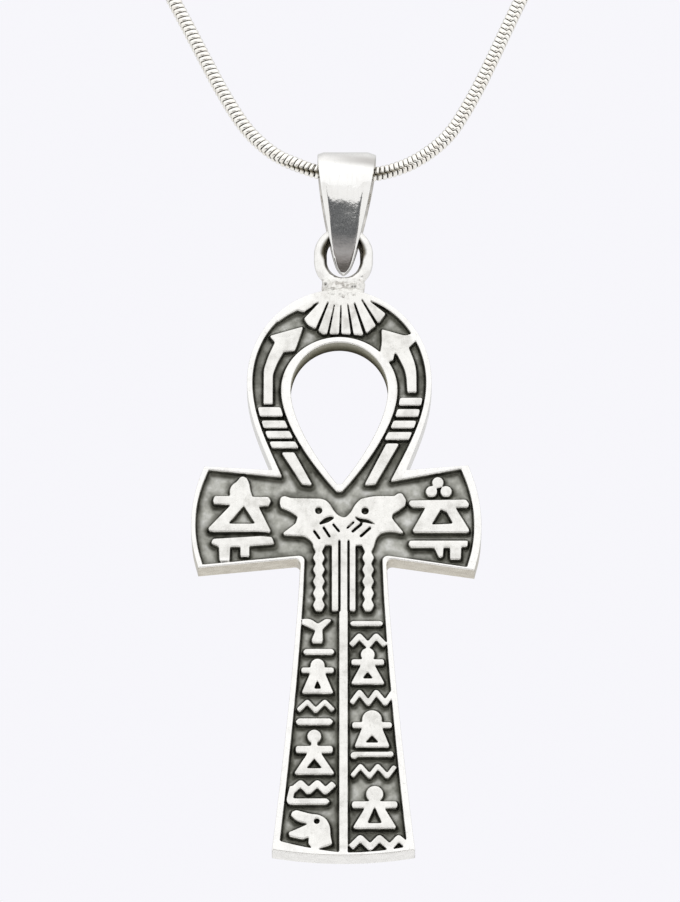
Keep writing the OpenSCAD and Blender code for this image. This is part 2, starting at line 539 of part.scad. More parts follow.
// Forked sign and bird's head at the two ends of the left column, as [u, share] from a cell
forked_sign = [[0.98, 0], [0.8, 0], [0.56, 0.2], [0.36, 0], [0.2, 0.02], [0.24, 0.12], [0.44, 0.44],
    [0.42, 0.85], [0.44, 1], [0.68, 1], [0.7, 0.85], [0.62, 0.48], [0.98, 0.22]];
forked_span = [0.205, 0.288];
bird_head = [[0.87, 0.14], [0.85, 0.04], [0.78, 0], [0.5, 0.1], [0.36, 0.13], [0.25, 0.22],
    [0.17, 0.42], [0.15, 0.68], [0.12, 0.88], [0.24, 0.95], [0.36, 1], [0.47, 0.97], [0.53, 0.86],
    [0.52, 0.7], [0.62, 0.75], [0.74, 0.72], [0.86, 0.68], [0.88, 0.58], [0.68, 0.45],
    [0.55, 0.36], [0.66, 0.32], [0.76, 0.27]];
bird_span = [0.862, 0.994];
bird_eye = [0.4, 0.9];
module cell_sign(points, span) {
    polygon([for (p = points) column(-1, p.x, span[0] + (span[1] - span[0]) * p.y)]);
}

module raised() {
    difference() {
        union() {
            fan();
            shoulder();
            left_arrow();
            right_arrow();
            bands();
            shafts();
            heads();
            necks();
            reeds();
            middle_bar();
            arm_signs();
            figure_signs();
            water_lines();
            bar_signs();
            knobs();
            cell_sign(forked_sign, forked_span);
            cell_sign(bird_head, bird_span);
        }
        fan_cuts();
        head_cuts();
        reed_cuts();
        arm_cuts();
        figure_cuts();
        translate(column(-1, bird_eye[0], bird_eye[1])) circle(eye_r * 0.8, $fn = 12);
    }
}

// Sunk ground of the plate: everything inside the rims that isn't raised ornament
module ground() {
    difference() {
        polygon(plate_outline(1));
        translate([-loop_shift, 0]) polygon(drop(hole_w / 2 + hole_rim, hole_top_y + hole_top_rim,
            hole_widest_y, hole_tip_y - hole_tip_rim));
        raised();
    }
}

module plate_flat() {
    difference() {
        polygon(plate_outline(0));
        translate([-loop_shift, 0]) polygon(drop(hole_w / 2, hole_top_y, hole_widest_y, hole_tip_y));
    }
}

// Stands a flat drawing up in the plate's own plane, its front towards -Y
module upright(from_front, depth) {
    translate([bail_pass.x, bail_pass.y - plate_t / 2 + from_front + depth, bail_pass.z + plate_top_z])
        rotate([90, 0, 0]) linear_extrude(depth) children();
}

// Soldered ring: two half rings of round wire with straight wire between them
module ring() {
    for (end = [[ring_high_z, 0], [ring_low_z, 180]])
        translate(bail_pass + [0, 0, end[0]]) rotate([90, end[1], 0])
            rotate_extrude(angle = 180, $fn = 48) translate([ring_mid_r, 0]) circle(d = ring_wire, $fn = 24);
    for (side = [-1, 1]) translate(bail_pass + [side * ring_mid_r, 0, ring_low_z])
        cylinder(h = ring_straight, d = ring_wire, $fn = 24);
}

module solder() {
    low_y = -0.35;
    high_y = solder_gap + ring_wire * 0.75;
    upright((plate_t - ring_wire * 1.2) / 2, ring_wire * 1.2) polygon([
        [-solder_w / 2, low_y], [-solder_w * 0.42, solder_gap], [-solder_w * 0.22, high_y],
        [solder_w * 0.22, high_y], [solder_w * 0.42, solder_gap], [solder_w / 2, low_y]]);
}

module ankh() {
    color("silver") union() {
        difference() {
            upright(0, plate_t) plate_flat();
            upright(-1, 1 + ground_depth) ground();
        }
        ring();
        solder();
    }
}

// Bail: the side view's teardrop and the front view's taper, cut from one block
function teardrop(r) = concat(arc([0, bail_mid_z], r, -leg_taper, 180 + leg_taper, 28),
    [[0, bail_mid_z - r / sin(leg_taper)]]);
bail_tip_w = 1.36;
function bail_front_side() = concat(curve([[bail_w / 2, chain_headroom + bail_strip],
    [bail_w / 2, bail_mid_z], [bail_w * 0.22, bail_tip_z * 0.805], [bail_tip_w / 2, bail_tip_z * 0.918]], 10),
    [[bail_tip_w * 0.31, bail_tip_z * 0.973]]);
module bail() {
    color("silver") translate(bail_pass) intersection() {
        rotate([90, 0, 90]) linear_extrude(bail_w + 2, center = true) difference() {
            polygon(teardrop(bail_outer_r));
            polygon(teardrop(bail_inner_r));
        }
        rotate([90, 0, 0]) linear_extrude(2 * bail_outer_r + 2, center = true) polygon(concat(
            bail_front_side(), [[0, bail_tip_z]], backwards(flipped(bail_front_side()))));
    }
}

// Snake chain: a tube swept along the route, which runs from the left cap to the right one
function mirrored(points) = [for (p = points) [-p.x, p.y, p.z]];
function in_v(points) = [for (p = points) bail_pass + [p.x, 0, p.y]];
chain_route = concat([[-chain_end_x, 0, 0]], backwards(mirrored(round_neck)), in_v(v_left),
    in_v(v_right), round_neck, [[chain_end_x, 0, 0]]);
function route_point(i) = let (last = len(chain_route) - 1)
    i < 0 ? 2 * chain_route[0] - chain_route[1]
    : i > last ? 2 * chain_route[last] - chain_route[last - 1] : chain_route[i];
function smooth(i, t) =
    let (a = route_point(i - 1), b = route_point(i), c = route_point(i + 1), d = route_point(i + 2))
    0.5 * (2 * b + (c - a) * t + (2 * a - 5 * b + 4 * c - d) * t * t + (3 * b - a - 3 * c + d) * t * t * t);
// A half-way ring goes in wherever two route points lie far apart
ring_spacing = 8.5;
chain_middles = [for (i = [0 : len(chain_route) - 2])
    each norm(route_point(i + 1) - route_point(i)) > ring_spacing
        ? [smooth(i, 0), smooth(i, 0.5)] : [smooth(i, 0)],
    chain_route[len(chain_route) - 1]];
function along(i) = unit(chain_middles[min(i + 1, len(chain_middles) - 1)] - chain_middles[max(i - 1, 0)]);
function ring_points(i) =
    let (t = i == 0 || i == len(chain_middles) - 1 ? [-1, 0, 0] : along(i),
        n = unit(cross([0, 0, 1], t)), b = cross(t, n))
    [for (k = [0 : chain_sides - 1]) let (a = 360 * (k + 0.5) / chain_sides)
        chain_middles[i] + chain_d / 2 * (cos(a) * n + sin(a) * b)];
module snake_chain() {
    last = len(chain_middles) - 1;
    n = chain_sides;
    color("gainsboro") polyhedron(
        points = [for (i = [0 : last]) each ring_points(i)],
        faces = concat([[for (k = [0 : n - 1]) k]],
            [for (i = [0 : last - 1], k = [0 : n - 1])
                [i * n + k, (i + 1) * n + k, (i + 1) * n + (k + 1) % n, i * n + (k + 1) % n]],
            [[for (k = [n - 1 : -1 : 0]) last * n + k]]));
}

// Tube cap with a flat eye, drawn for the right end
module cap() {
    color("silver") union() {
        difference() {
            translate([cap_start_x, 0, 0]) rotate([0, 90, 0]) cylinder(h = cap_l, d = cap_outer_d, $fn = 32);
            translate([cap_start_x + cap_floor, 0, 0]) rotate([0, 90, 0])
                cylinder(h = cap_l, d = chain_d + 2 * cap_clearance, $fn = 32);
        }
        translate([eye_x, 0, 0]) rotate_extrude($fn = 48)
            translate([eye_mid_r, 0]) circle(d = eye_wire, $fn = 20);
    }
}
module chain_cap_left() { mirror([1, 0, 0]) cap(); }
module chain_cap_right() { cap(); }

module clasp() {
    color("silver") rotate([90, 0, 0]) rotate_extrude($fn = 60)
        translate([clasp_mid_r, 0]) circle(d = clasp_wire, $fn = 24);
}

ankh();
bail();
snake_chain();
chain_cap_left();
chain_cap_right();
clasp();
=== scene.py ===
"""Ankh pendant of blackened and polished silver on a snake chain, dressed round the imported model.
Sizes are in millimetres, in the model's own frame: +Z is up and the front looks towards -Y."""
import math

import bpy
import bmesh
import numpy as np
from mathutils import Matrix, Vector, noise
from mathutils.geometry import delaunay_2d_cdt


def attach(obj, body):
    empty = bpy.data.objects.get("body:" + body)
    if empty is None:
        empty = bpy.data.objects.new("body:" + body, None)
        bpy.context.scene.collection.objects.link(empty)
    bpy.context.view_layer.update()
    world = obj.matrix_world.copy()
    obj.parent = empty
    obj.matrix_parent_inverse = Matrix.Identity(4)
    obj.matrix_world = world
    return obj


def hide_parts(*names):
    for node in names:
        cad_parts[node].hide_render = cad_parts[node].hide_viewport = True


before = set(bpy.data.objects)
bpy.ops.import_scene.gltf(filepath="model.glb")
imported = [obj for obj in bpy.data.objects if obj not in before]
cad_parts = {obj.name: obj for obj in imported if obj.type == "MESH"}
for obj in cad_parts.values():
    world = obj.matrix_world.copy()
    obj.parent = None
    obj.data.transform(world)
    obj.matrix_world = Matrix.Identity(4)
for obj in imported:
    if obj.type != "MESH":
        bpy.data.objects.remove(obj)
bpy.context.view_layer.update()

# Camera
# A long lens a little below the pendant, square to its face from left to right, as the picture was
# taken. The chain runs out of the picture at the top. The camera's distances are in metres.
MM = 0.001
image_height_px, px_per_mm = 902, 12.0
camera_rise = math.radians(-15)
camera_distance = 3.0
camera_target = Vector((-0.29, -89.45, -143.4)) * MM
camera_data = bpy.data.cameras.new("camera")
camera_data.sensor_fit = "VERTICAL"
camera_data.lens = camera_data.sensor_height * camera_distance / (image_height_px / px_per_mm * MM)
camera_data.clip_start, camera_data.clip_end = 0.01, 20
camera = bpy.data.objects.new("camera", camera_data)
towards_camera = Vector((0, -math.cos(camera_rise), math.sin(camera_rise)))
camera.location = camera_target + camera_distance * towards_camera
camera.rotation_euler = (-towards_camera).to_track_quat("-Z", "Y").to_euler()
bpy.context.scene.collection.objects.link(camera)
bpy.context.scene.camera = camera

# Ankh plate
# Cast sterling silver plate with a raised rim and raised signs. The sunk ground is blackened, and the
# tops are polished bright by hand, so that the edges are soft and the walls lean out a little.
def places_of(mesh, kind="co"):
    """The places (or the normals) of a mesh's points, as rows."""
    values = np.empty(len(mesh.vertices) * 3, np.float32)
    mesh.vertices.foreach_get(kind, values)
    return values.reshape(-1, 3).astype(float)


cad_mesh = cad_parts["ankh"].data
cad_points = places_of(cad_mesh) / MM
cad_mesh.calc_loop_triangles()
cad_triangles = np.empty(len(cad_mesh.loop_triangles) * 3, np.int32)
cad_mesh.loop_triangles.foreach_get("vertices", cad_triangles)
cad_triangles = cad_triangles.reshape(-1, 3)
plate_front = cad_points[:, 1].min()
plate_back = cad_points[:, 1].max()
flat_levels, level_counts = np.unique(np.round(cad_points[:, 1], 3), return_counts=True)
edge_clear = 0.1
between = (flat_levels > plate_front + edge_clear) & (flat_levels < plate_back - edge_clear)
ground_depth = flat_levels[between][level_counts[between].argmax()] - plate_front
# Distances are kept for each place of a grid, up to the reach
cell, reach = 0.05, 0.8
field_low = cad_points.min(0)[[0, 2]] - 2 * cell
field_size = tuple(((cad_points.max(0)[[0, 2]] - field_low) / cell).astype(int) + 4)
field_x = field_low[0] + cell * np.arange(field_size[0])
field_z = field_low[1] + cell * np.arange(field_size[1])


def face_outlines(level):
    """The closed outlines, as points (x, z), of the flat faces that look along Y at a level."""
    level_slack = 2e-3
    flat = np.abs(cad_points[:, 1] - level) < level_slack
    places, number = np.unique(np.round(cad_points[:, ::2], 3), axis=0, return_inverse=True)
    tris = number.ravel()[cad_triangles[flat[cad_triangles].all(1)]]
    edges = np.vstack([tris[:, [0, 1]], tris[:, [1, 2]], tris[:, [2, 0]]])
    seen = set(map(tuple, edges))
    following = {}
    for a, b in edges:
        if a != b and (b, a) not in seen:
            following.setdefault(a, []).append(b)
    outlines = []
    while following:
        start = here = next(iter(following))
        line = []
        while here in following:
            line.append(here)
            after = following[here].pop()
            if not following[here]:
                del following[here]
            here = after
            if here == start:
                break
        outlines.append(places[line])
    return outlines


def softened(line, spacing):
    """A closed outline with its gentle bends rounded off and its sharp corners kept."""
    sharp, much_longer = 32, 2.5
    ahead = np.roll(line, -1, 0) - line
    length = np.linalg.norm(ahead, axis=1)
    ahead = ahead / length[:, None]
    behind, length_behind = np.roll(ahead, 1, 0), np.roll(length, 1)
    bend = np.degrees(np.arccos(np.clip((ahead * behind).sum(1), -1, 1)))
    blend = behind * length[:, None] + ahead * length_behind[:, None]
    blend /= np.linalg.norm(blend, axis=1)[:, None] + 1e-12
    blend = np.where((length > much_longer * length_behind)[:, None], ahead, blend)
    blend = np.where((length_behind > much_longer * length)[:, None], behind, blend)
    leaving = np.where((bend > sharp)[:, None], ahead, blend)
    arriving = np.roll(np.where((bend > sharp)[:, None], behind, blend), -1, 0)
    out = []
    for i in range(len(line)):
        steps = max(1, math.ceil(length[i] / spacing))
        t = np.arange(steps)[:, None] / steps
        out.append((2 * t**3 - 3 * t**2 + 1) * line[i] + (t**3 - 2 * t**2 + t) * leaving[i] * length[i]
                   + (3 * t**2 - 2 * t**3) * line[(i + 1) % len(line)]
                   + (t**3 - t**2) * arriving[i] * length[i])
    return np.vstack(out)


def distance_field(lines):
    """Each place's distance to the nearest of some closed lines, up to the reach."""
    field = np.full(field_size, reach)
    for line in lines:
        for a, b in zip(line, np.roll(line, -1, 0)):
            low = np.maximum(((np.minimum(a, b) - reach - field_low) / cell).astype(int), 0)
            high = ((np.maximum(a, b) + reach - field_low) / cell).astype(int) + 2
            part = field[low[0]:high[0], low[1]:high[1]]
            x = field_x[low[0]:high[0], None] - a[0]
            z = field_z[None, low[1]:high[1]] - a[1]
            u, w = b - a
            t = np.clip((x * u + z * w) / (u * u + w * w + 1e-18), 0, 1)
            np.minimum(part, np.hypot(x - t * u, z - t * w), out=part)
    return field


def inside(lines):
    """Whether each place lies inside an odd number of some closed lines."""
    flips = np.zeros(field_size, int)
    for line in lines:
        for a, b in zip(line, np.roll(line, -1, 0)):
            if b[1] < a[1]:
                a, b = b, a
            rows = np.arange(math.ceil((a[1] - field_low[1]) / cell), math.ceil((b[1] - field_low[1]) / cell))
            if len(rows):
                x = a[0] + (field_z[rows] - a[1]) / (b[1] - a[1]) * (b[0] - a[0])
                np.add.at(flips, (np.ceil((x - field_low[0]) / cell).astype(int), rows), 1)
    return np.cumsum(flips, 0) % 2 == 1


def read(field, points):
    """A field's value at points (x, z), from the four places round each."""
    at = (points - field_low) / cell
    i = np.clip(at.astype(int), 0, np.array(field_size) - 2)
    f = at - i
    x, z = i[:, 0], i[:, 1]
    return ((field[x, z] * (1 - f[:, 0]) + field[x + 1, z] * f[:, 0]) * (1 - f[:, 1])
            + (field[x, z + 1] * (1 - f[:, 0]) + field[x + 1, z + 1] * f[:, 0]) * f[:, 1])


def level_lines(field, slope, level, spacing):
    """Closed lines of evenly spaced points along which a field has a level."""
    fewest, nudges, most_move, least_steep = 6, 2, 0.02, 0.25
    over = field > level
    number = np.arange(field.size).reshape(field_size)
    corners = over[:-1, :-1] + 2 * over[1:, :-1] + 4 * over[1:, 1:] + 8 * over[:-1, 1:]
    foot, right = number[:-1, :-1], field.size + number[1:, :-1]
    top, left = number[:-1, 1:], field.size + number[:-1, :-1]
    ways = {1: [(left, foot)], 2: [(foot, right)], 3: [(left, right)], 4: [(right, top)],
            5: [(left, foot), (right, top)], 6: [(foot, top)], 7: [(left, top)], 8: [(top, left)],
            9: [(top, foot)], 10: [(foot, right), (top, left)], 11: [(top, right)], 12: [(right, left)],
            13: [(right, foot)], 14: [(foot, left)]}
    following = {}
    for case, crossings in ways.items():
        for start, end in crossings:
            following.update(zip(start[corners == case].tolist(), end[corners == case].tolist()))

    def place(crossing):
        upright = crossing >= field.size
        x, z = divmod(crossing - upright * field.size, field_size[1])
        a, b = field[x, z], field[x + (not upright), z + upright]
        t = (level - a) / (b - a)
        return field_x[x] + (not upright) * t * cell, field_z[z] + upright * t * cell

    lines = []
    while following:
        start, here = following.popitem()
        line = [start]
        while here != start:
            line.append(here)
            here = following.pop(here)
        line = np.array([place(c) for c in line])
        if len(line) < fewest:
            continue
        gaps = np.linalg.norm(np.roll(line, -1, 0) - line, axis=1)
        along = np.concatenate([[0], np.cumsum(gaps)])
        count = max(fewest, round(along[-1] / spacing))
        want = along[-1] * np.arange(count) / count
        closed = np.vstack([line, line[:1]])
        line = np.stack([np.interp(want, along, closed[:, k]) for k in (0, 1)], 1)
        for _ in range(nudges):
            gradient = np.stack([read(s, line) for s in slope], 1)
            steepness = np.maximum((gradient**2).sum(1), least_steep)
            move = np.clip(read(field, line) - level, -most_move, most_move) / steepness
            line -= gradient * move[:, None]
        lines.append(line)
    return lines


def signed_field(lines):
    """The distance field of some closed lines, above 0 inside them."""
    return distance_field(lines) * np.where(inside(lines), 1, -1)


# Millimetres between points along the plate's outline, the signs, their rounded corners, the lines
# beside the plate's edge, and the walls
along_outline, along_signs, along_corners, along_edge, along_walls = 0.12, 0.1, 0.08, 0.13, 0.12
back_outlines = face_outlines(plate_back)
silhouette = [softened(line, along_outline) for line in back_outlines]
edge_places = {tuple(p) for line in back_outlines for p in line}
sign_outlines = [softened(line, along_signs) for line in face_outlines(plate_front)
                 if tuple(line[0]) not in edge_places]
# The sink is how far a place lies out in the ground (above 0) or in under a top, and the inset is how
# far it lies in from the plate's own edge. Casting and polishing round off the corners: those of the
# tops, then those of the ground.
corner_of_tops, corner_of_ground = 0.06, 0.03
sink = signed_field(sign_outlines)
for away in (-corner_of_tops, corner_of_ground):
    sink = signed_field(level_lines(sink, np.gradient(sink, cell), away, along_corners)) + away
inset = signed_field(silhouette)
sink_slope, inset_slope = np.gradient(sink, cell), np.gradient(inset, cell)

# Section of a wall: the sink, how far it has dropped as a share of the depth, and its lean in degrees.
# A groove too narrow for it takes the same section, drawn in.
wall_section = np.array([(-0.22, 0, 0), (-0.08, 0.008, 9), (-0.03, 0.035, 34), (0.01, 0.11, 66),
                         (0.06, 0.455, 69), (0.11, 0.8, 70), (0.17, 0.915, 34), (0.3, 0.975, 13),
                         (0.5, 1, 0)])
full_groove, narrowest, cells_about = 0.3, 0.3, 5
widest = sink
for axis in (0, 1):
    widest = np.max([np.roll(widest, k, axis) for k in range(-cells_about, cells_about + 1)], 0)
groove_share = np.clip(widest / full_groove, narrowest, 1)
# Section of the plate's own edge: the inset, how far it has dropped in millimetres, and its lean.
front_section = np.array([(0, 0.12, 90), (0.035, 0.035, 45), (0.12, 0, 0)])
back_section = np.array([(0, 0.16, 90), (0.05, 0.047, 45), (0.16, 0, 0)])


def filling(spacing, clear_sink, clear_inset):
    """Evenly spaced points in the open flats, clear of the walls and the edge."""
    row_share = 0.866
    x, z = np.meshgrid(np.arange(field_x[0], field_x[-1], spacing),
                       np.arange(field_z[0], field_z[-1], spacing * row_share), indexing="ij")
    x = x + np.where(np.arange(x.shape[1]) % 2, spacing / 2, 0)
    points = np.stack([x.ravel(), z.ravel()], 1)
    points = points[(points < [field_x[-1], field_z[-1]]).all(1)]
    s, e = read(sink, points), read(inset, points)
    return points[(e > clear_inset) & ((s < clear_sink[0]) | (s > clear_sink[1]))]


def plate_side(section, walls, flats):
    """One face of the plate as flat points, triangles, and the numbers of its edge's points."""
    beside_edge = [line for level in section[1:, 0]
                   for line in level_lines(inset, inset_slope, level, along_edge)]
    points, edges = [], []
    for line in silhouette + beside_edge + walls:
        n = sum(map(len, points))
        points.append(line)
        edges += [(n + k, n + (k + 1) % len(line)) for k in range(len(line))]
    points.append(flats)
    points = np.vstack(points)
    found, _, faces, came_from, _, _ = delaunay_2d_cdt([Vector(p) for p in points], edges, [], 0, 1e-5)
    found, faces = np.array(found), np.array(faces)
    faces = faces[read(inset, found[faces].mean(1)) > 0]
    number = {old: new for new, olds in enumerate(came_from) for old in olds}
    rim = [[number[k] for k in range(n, n + len(line))]
           for n, line in zip(np.cumsum([0] + [len(s) for s in silhouette]), silhouette)]
    return found, faces, rim


wall_lines = [line for level in wall_section[:, 0]
              for line in level_lines(sink, sink_slope, level, along_walls)]
# Points on the flats lie this far apart, out of the walls' sinks, and in from the edge
fine_fill, coarse_fill = 0.3, 0.8
out_of_walls, everywhere = (-0.3, 0.6), (reach, -reach)
front_fill, back_fill = filling(fine_fill, out_of_walls, 0.2), filling(coarse_fill, everywhere, 0.4)
front_points, front_faces, front_rim = plate_side(front_section, wall_lines, front_fill)
back_points, back_faces, back_rim = plate_side(back_section, [], back_fill)


def directions(slope, points):
    """Unit directions in which a field grows, at points."""
    way = np.stack([read(s, points) for s in slope], 1)
    return way / (np.linalg.norm(way, axis=1)[:, None] + 1e-9)


def uneven(points, size, seed):
    """Soft bumps of a size in millimetres, from -1 to 1, and their slope."""
    near = 0.05
    bumps = np.array([[noise.noise(((x + dx) / size, (z + dz) / size, seed))
                       for dx, dz in ((0, 0), (near, 0), (0, near))] for x, z in points])
    return bumps[:, 0], (bumps[:, 1:] - bumps[:, :1]) / near


# The casting left small bumps and the polishing long waves. The bumps stand high on the ground, and
# both lie low on the tops. They begin a little way from the walls and the edge.
bump_size, wave_size = 0.9, 2.2
ground_bumps, top_waves, top_bumps = 0.03, 0.02, 0.004
ground_from, ground_fade, top_from, top_fade, edge_from, edge_fade = 0.3, 0.25, 0.05, 0.15, 0.1, 0.2
wall_middle, beside_walls = 0.12, 0.4
rim_width, rim_fade = 0.78, 0.2


def dressed_side(points, section, side, walls):
    """Places and normals of one face, its drop below the tops as a share of the depth, its sink, how far
    the walls and the ground beside them look up (1) or down (-1), and where the rims are."""
    s = np.clip(read(sink, points), -reach, reach) if walls else np.full(len(points), -reach)
    share = read(groove_share, points) if walls else 1
    e = read(inset, points)
    drop = np.interp(s / share, wall_section[:, 0], wall_section[:, 1])
    lean = np.arctan(np.tan(np.radians(np.interp(s / share, wall_section[:, 0], wall_section[:, 2]))) / share)
    edge_lean = np.radians(np.interp(e, section[:, 0], section[:, 2]))
    edge_drop = np.interp(e, section[:, 0], section[:, 1])
    ground_part = np.clip((s - ground_from) / ground_fade, 0, 1)
    top_part = np.clip((-s - top_from) / top_fade, 0, 1) * np.clip((e - edge_from) / edge_fade, 0, 1)
    bumps, bump_slope = uneven(points, bump_size, 3.0)
    waves, wave_slope = uneven(points, wave_size, 9.0)
    y = (drop * ground_depth + edge_drop + ground_bumps * bumps * ground_part
         + (top_waves * waves + top_bumps * bumps) * top_part)
    flat = np.stack([points[:, 0], (plate_front + y) if side < 0 else (plate_back - y), points[:, 1]], 1)
    tilt = (directions(sink_slope, points) * np.sin(lean)[:, None]
            - directions(inset_slope, points) * np.sin(edge_lean)[:, None]
            + ground_bumps * bump_slope * ground_part[:, None]
            + (top_waves * wave_slope + top_bumps * bump_slope) * top_part[:, None])
    normal = np.stack([tilt[:, 0], side * np.cos(lean) * np.cos(edge_lean), tilt[:, 1]], 1)
    by_walls = np.clip(1 - np.abs(s - wall_middle) / beside_walls, 0, 1)
    upward = directions(sink_slope, points)[:, 1] * by_walls
    rim = np.clip((rim_width - e) / rim_fade, 0, 1)
    return flat, normal / np.linalg.norm(normal, axis=1)[:, None], drop, np.clip(s / reach, 0, 1), upward, rim


def enclosed(line):
    """The area that a closed line encloses."""
    x, z = line.T
    return abs((x * np.roll(z, -1) - np.roll(x, -1) * z).sum()) / 2


front_side = dressed_side(front_points, front_section, -1, True)
back_side = dressed_side(back_points, back_section, 1, False)
plate_places, plate_normals, drop, opened, upward, rim = [
    np.concatenate(two) for two in zip(front_side, back_side)]
plate_faces = [tuple(f) for f in front_faces] + [tuple(f[::-1] + len(front_points)) for f in back_faces]
side_wall, hole_wall = np.zeros(len(plate_places)), np.zeros(len(plate_places))
largest = max(map(enclosed, silhouette))
for line, front_line, back_line in zip(silhouette, front_rim, back_rim):
    back_line = [b + len(front_points) for b in back_line]
    plate_faces += zip(front_line, front_line[1:] + front_line[:1],
                       back_line[1:] + back_line[:1], back_line)
    wall = hole_wall if enclosed(line) < largest / 2 else side_wall
    wall[front_line + back_line] = 1


def new_piece(name, places, faces, edges=()):
    """A mesh object at the origin with smooth faces, from places in millimetres."""
    mesh = bpy.data.meshes.new(name)
    mesh.from_pydata((np.asarray(places) * MM).tolist(), edges, [tuple(int(v) for v in f) for f in faces])
    mesh.update()
    piece = bpy.data.objects.new(name, mesh)
    bpy.context.scene.collection.objects.link(piece)
    mesh.polygons.foreach_set("use_smooth", [True] * len(mesh.polygons))
    return piece


def paint(piece, name, values):
    """Keeps a value for each point of a piece, for its material to read."""
    kept = piece.data.attributes.new(name, "FLOAT", "POINT")
    kept.data.foreach_set("value", np.asarray(values, np.float32))


def face_outwards(piece):
    """Turns the faces of a closed piece to point outwards."""
    loose = bmesh.new()
    loose.from_mesh(piece.data)
    bmesh.ops.recalc_face_normals(loose, faces=loose.faces)
    loose.to_mesh(piece.data)
    loose.free()


ankh_plate = new_piece("ankh_plate", plate_places, plate_faces)
face_outwards(ankh_plate)
ankh_plate.data.normals_split_custom_set_from_vertices(plate_normals.tolist())
for name, values in (("drop", drop), ("open", opened), ("upward", upward), ("rim", rim),
                     ("hole_wall", hole_wall), ("side_wall", side_wall)):
    paint(ankh_plate, name, values)


def node_maker(tree):
    """Calls that add a node to a tree, blend two colours, stretch a value and combine two values."""
    def add(kind, inputs=(), **settings):
        node = tree.nodes.new(kind)
        for key, value in settings.items():
            setattr(node, key, value)
        for key, value in dict(inputs).items():
            if isinstance(value, bpy.types.NodeSocket):
                tree.links.new(value, node.inputs[key])
            else:
                node.inputs[key].default_value = value
        return node

    def blend(share, first, second):
        return add("ShaderNodeMix", {0: share, 6: first, 7: second}, data_type="RGBA").outputs[2]

    def stretch(value, low, high, to_low=0.0, to_high=1.0):
        inputs = {"Value": value, "From Min": low, "From Max": high, "To Min": to_low, "To Max": to_high}
        return add("ShaderNodeMapRange", inputs, interpolation_type="SMOOTHSTEP").outputs["Result"]

    def both(operation, first, second):
        return add("ShaderNodeMath", {0: first, 1: second}, operation=operation).outputs[0]

    return add, blend, stretch, both


def clouds(add, place, scale, detail=3, **more):
    """Fine clouds with values about a half, larger the smaller the scale is."""
    inputs = {"Vector": place, "Scale": scale, "Detail": detail, **more}
    return add("ShaderNodeTexNoise", inputs).outputs["Fac"]


def sockets(tree, way, **kinds):
    """Gives a tree its named inputs or outputs."""
    for name, kind in kinds.items():
        tree.interface.new_socket(name.replace("_", " "), in_out=way, socket_type="NodeSocket" + kind)


# Marks that every silver piece here carries: mottling of the tarnish, and hair scratches from wear
marks = bpy.data.node_groups.new("silver_marks", "ShaderNodeTree")
sockets(marks, "INPUT", Place="Vector", Mottle_Scale="Float", Scratch_Scale="Float")
sockets(marks, "OUTPUT", Mottle="Float", Scratches="Float")
add, blend, stretch, both = node_maker(marks)
given = add("NodeGroupInput").outputs
mottling = clouds(add, given["Place"], given["Mottle Scale"], 5, Roughness=0.62)
scratches = 0.0
for turn_x, turn_y, turn_z in ((0.3, 0.5, 0.2), (-0.2, -0.9, 0.4)):
    drawn = add("ShaderNodeMapping", {"Vector": given["Place"], "Rotation": (turn_x, turn_y, turn_z),
                                      "Scale": (1, 0.3, 0.05)}).outputs[0]
    streak = clouds(add, drawn, given["Scratch Scale"], 2)
    off_middle = both("ABSOLUTE", both("SUBTRACT", streak, 0.5), 0.0)
    scratches = both("MAXIMUM", scratches, stretch(off_middle, 0.012, 0.0))
add("NodeGroupOutput", {"Mottle": mottling, "Scratches": scratches})


def marks_on(add, mottle_scale, scratch_scale):
    """The shared marks placed in a material, at its own sizes."""
    place = add("ShaderNodeTexCoord").outputs["Object"]
    given = {"Place": place, "Mottle Scale": mottle_scale, "Scratch Scale": scratch_scale}
    made = add("ShaderNodeGroup", given, node_tree=marks).outputs
    return place, made["Mottle"], made["Scratches"]


def painted(add, *names):
    """The values painted on a piece, one for each name."""
    return [add("ShaderNodeAttribute", attribute_name=name).outputs["Fac"] for name in names]


def ramp(add, value, *stops):
    """A colour that runs through stops of (value, colour)."""
    node = add("ShaderNodeValToRGB", {"Fac": value})
    for k, (at, colour) in enumerate(stops):
        stop = node.color_ramp.elements[k] if k < 2 else node.color_ramp.elements.new(at)
        stop.position, stop.color = at, (*colour, 1)
    return node.outputs["Color"]


def new_finish(name):
    """A new material, its shader, the call that links two sockets, and its four calls for nodes."""
    material = bpy.data.materials.new(name)
    material.use_nodes = True
    tree = material.node_tree
    return material, tree.nodes["Principled BSDF"], tree.links.new, *node_maker(tree)


def bumpy(shader, link, add, height, strength, distance):
    """Gives a finish fine relief from a height."""
    relief = add("ShaderNodeBump", {"Height": height, "Strength": strength, "Distance": distance})
    link(relief.outputs["Normal"], shader.inputs["Normal"])


silver, shader, link, add, blend, stretch, both = new_finish("blackened_silver")
place, mottle, scratch = marks_on(add, 900, 1500)
drop_value, open_value, up_value, rim_value, hole_value, side_value = painted(
    add, "drop", "open", "upward", "rim", "hole_wall", "side_wall")
cloud, fine = clouds(add, place, 300), clouds(add, place, 5200)
tarnish_and_shade = both("ADD", drop_value, both("MULTIPLY", both("SUBTRACT", mottle, 0.5), 0.22))
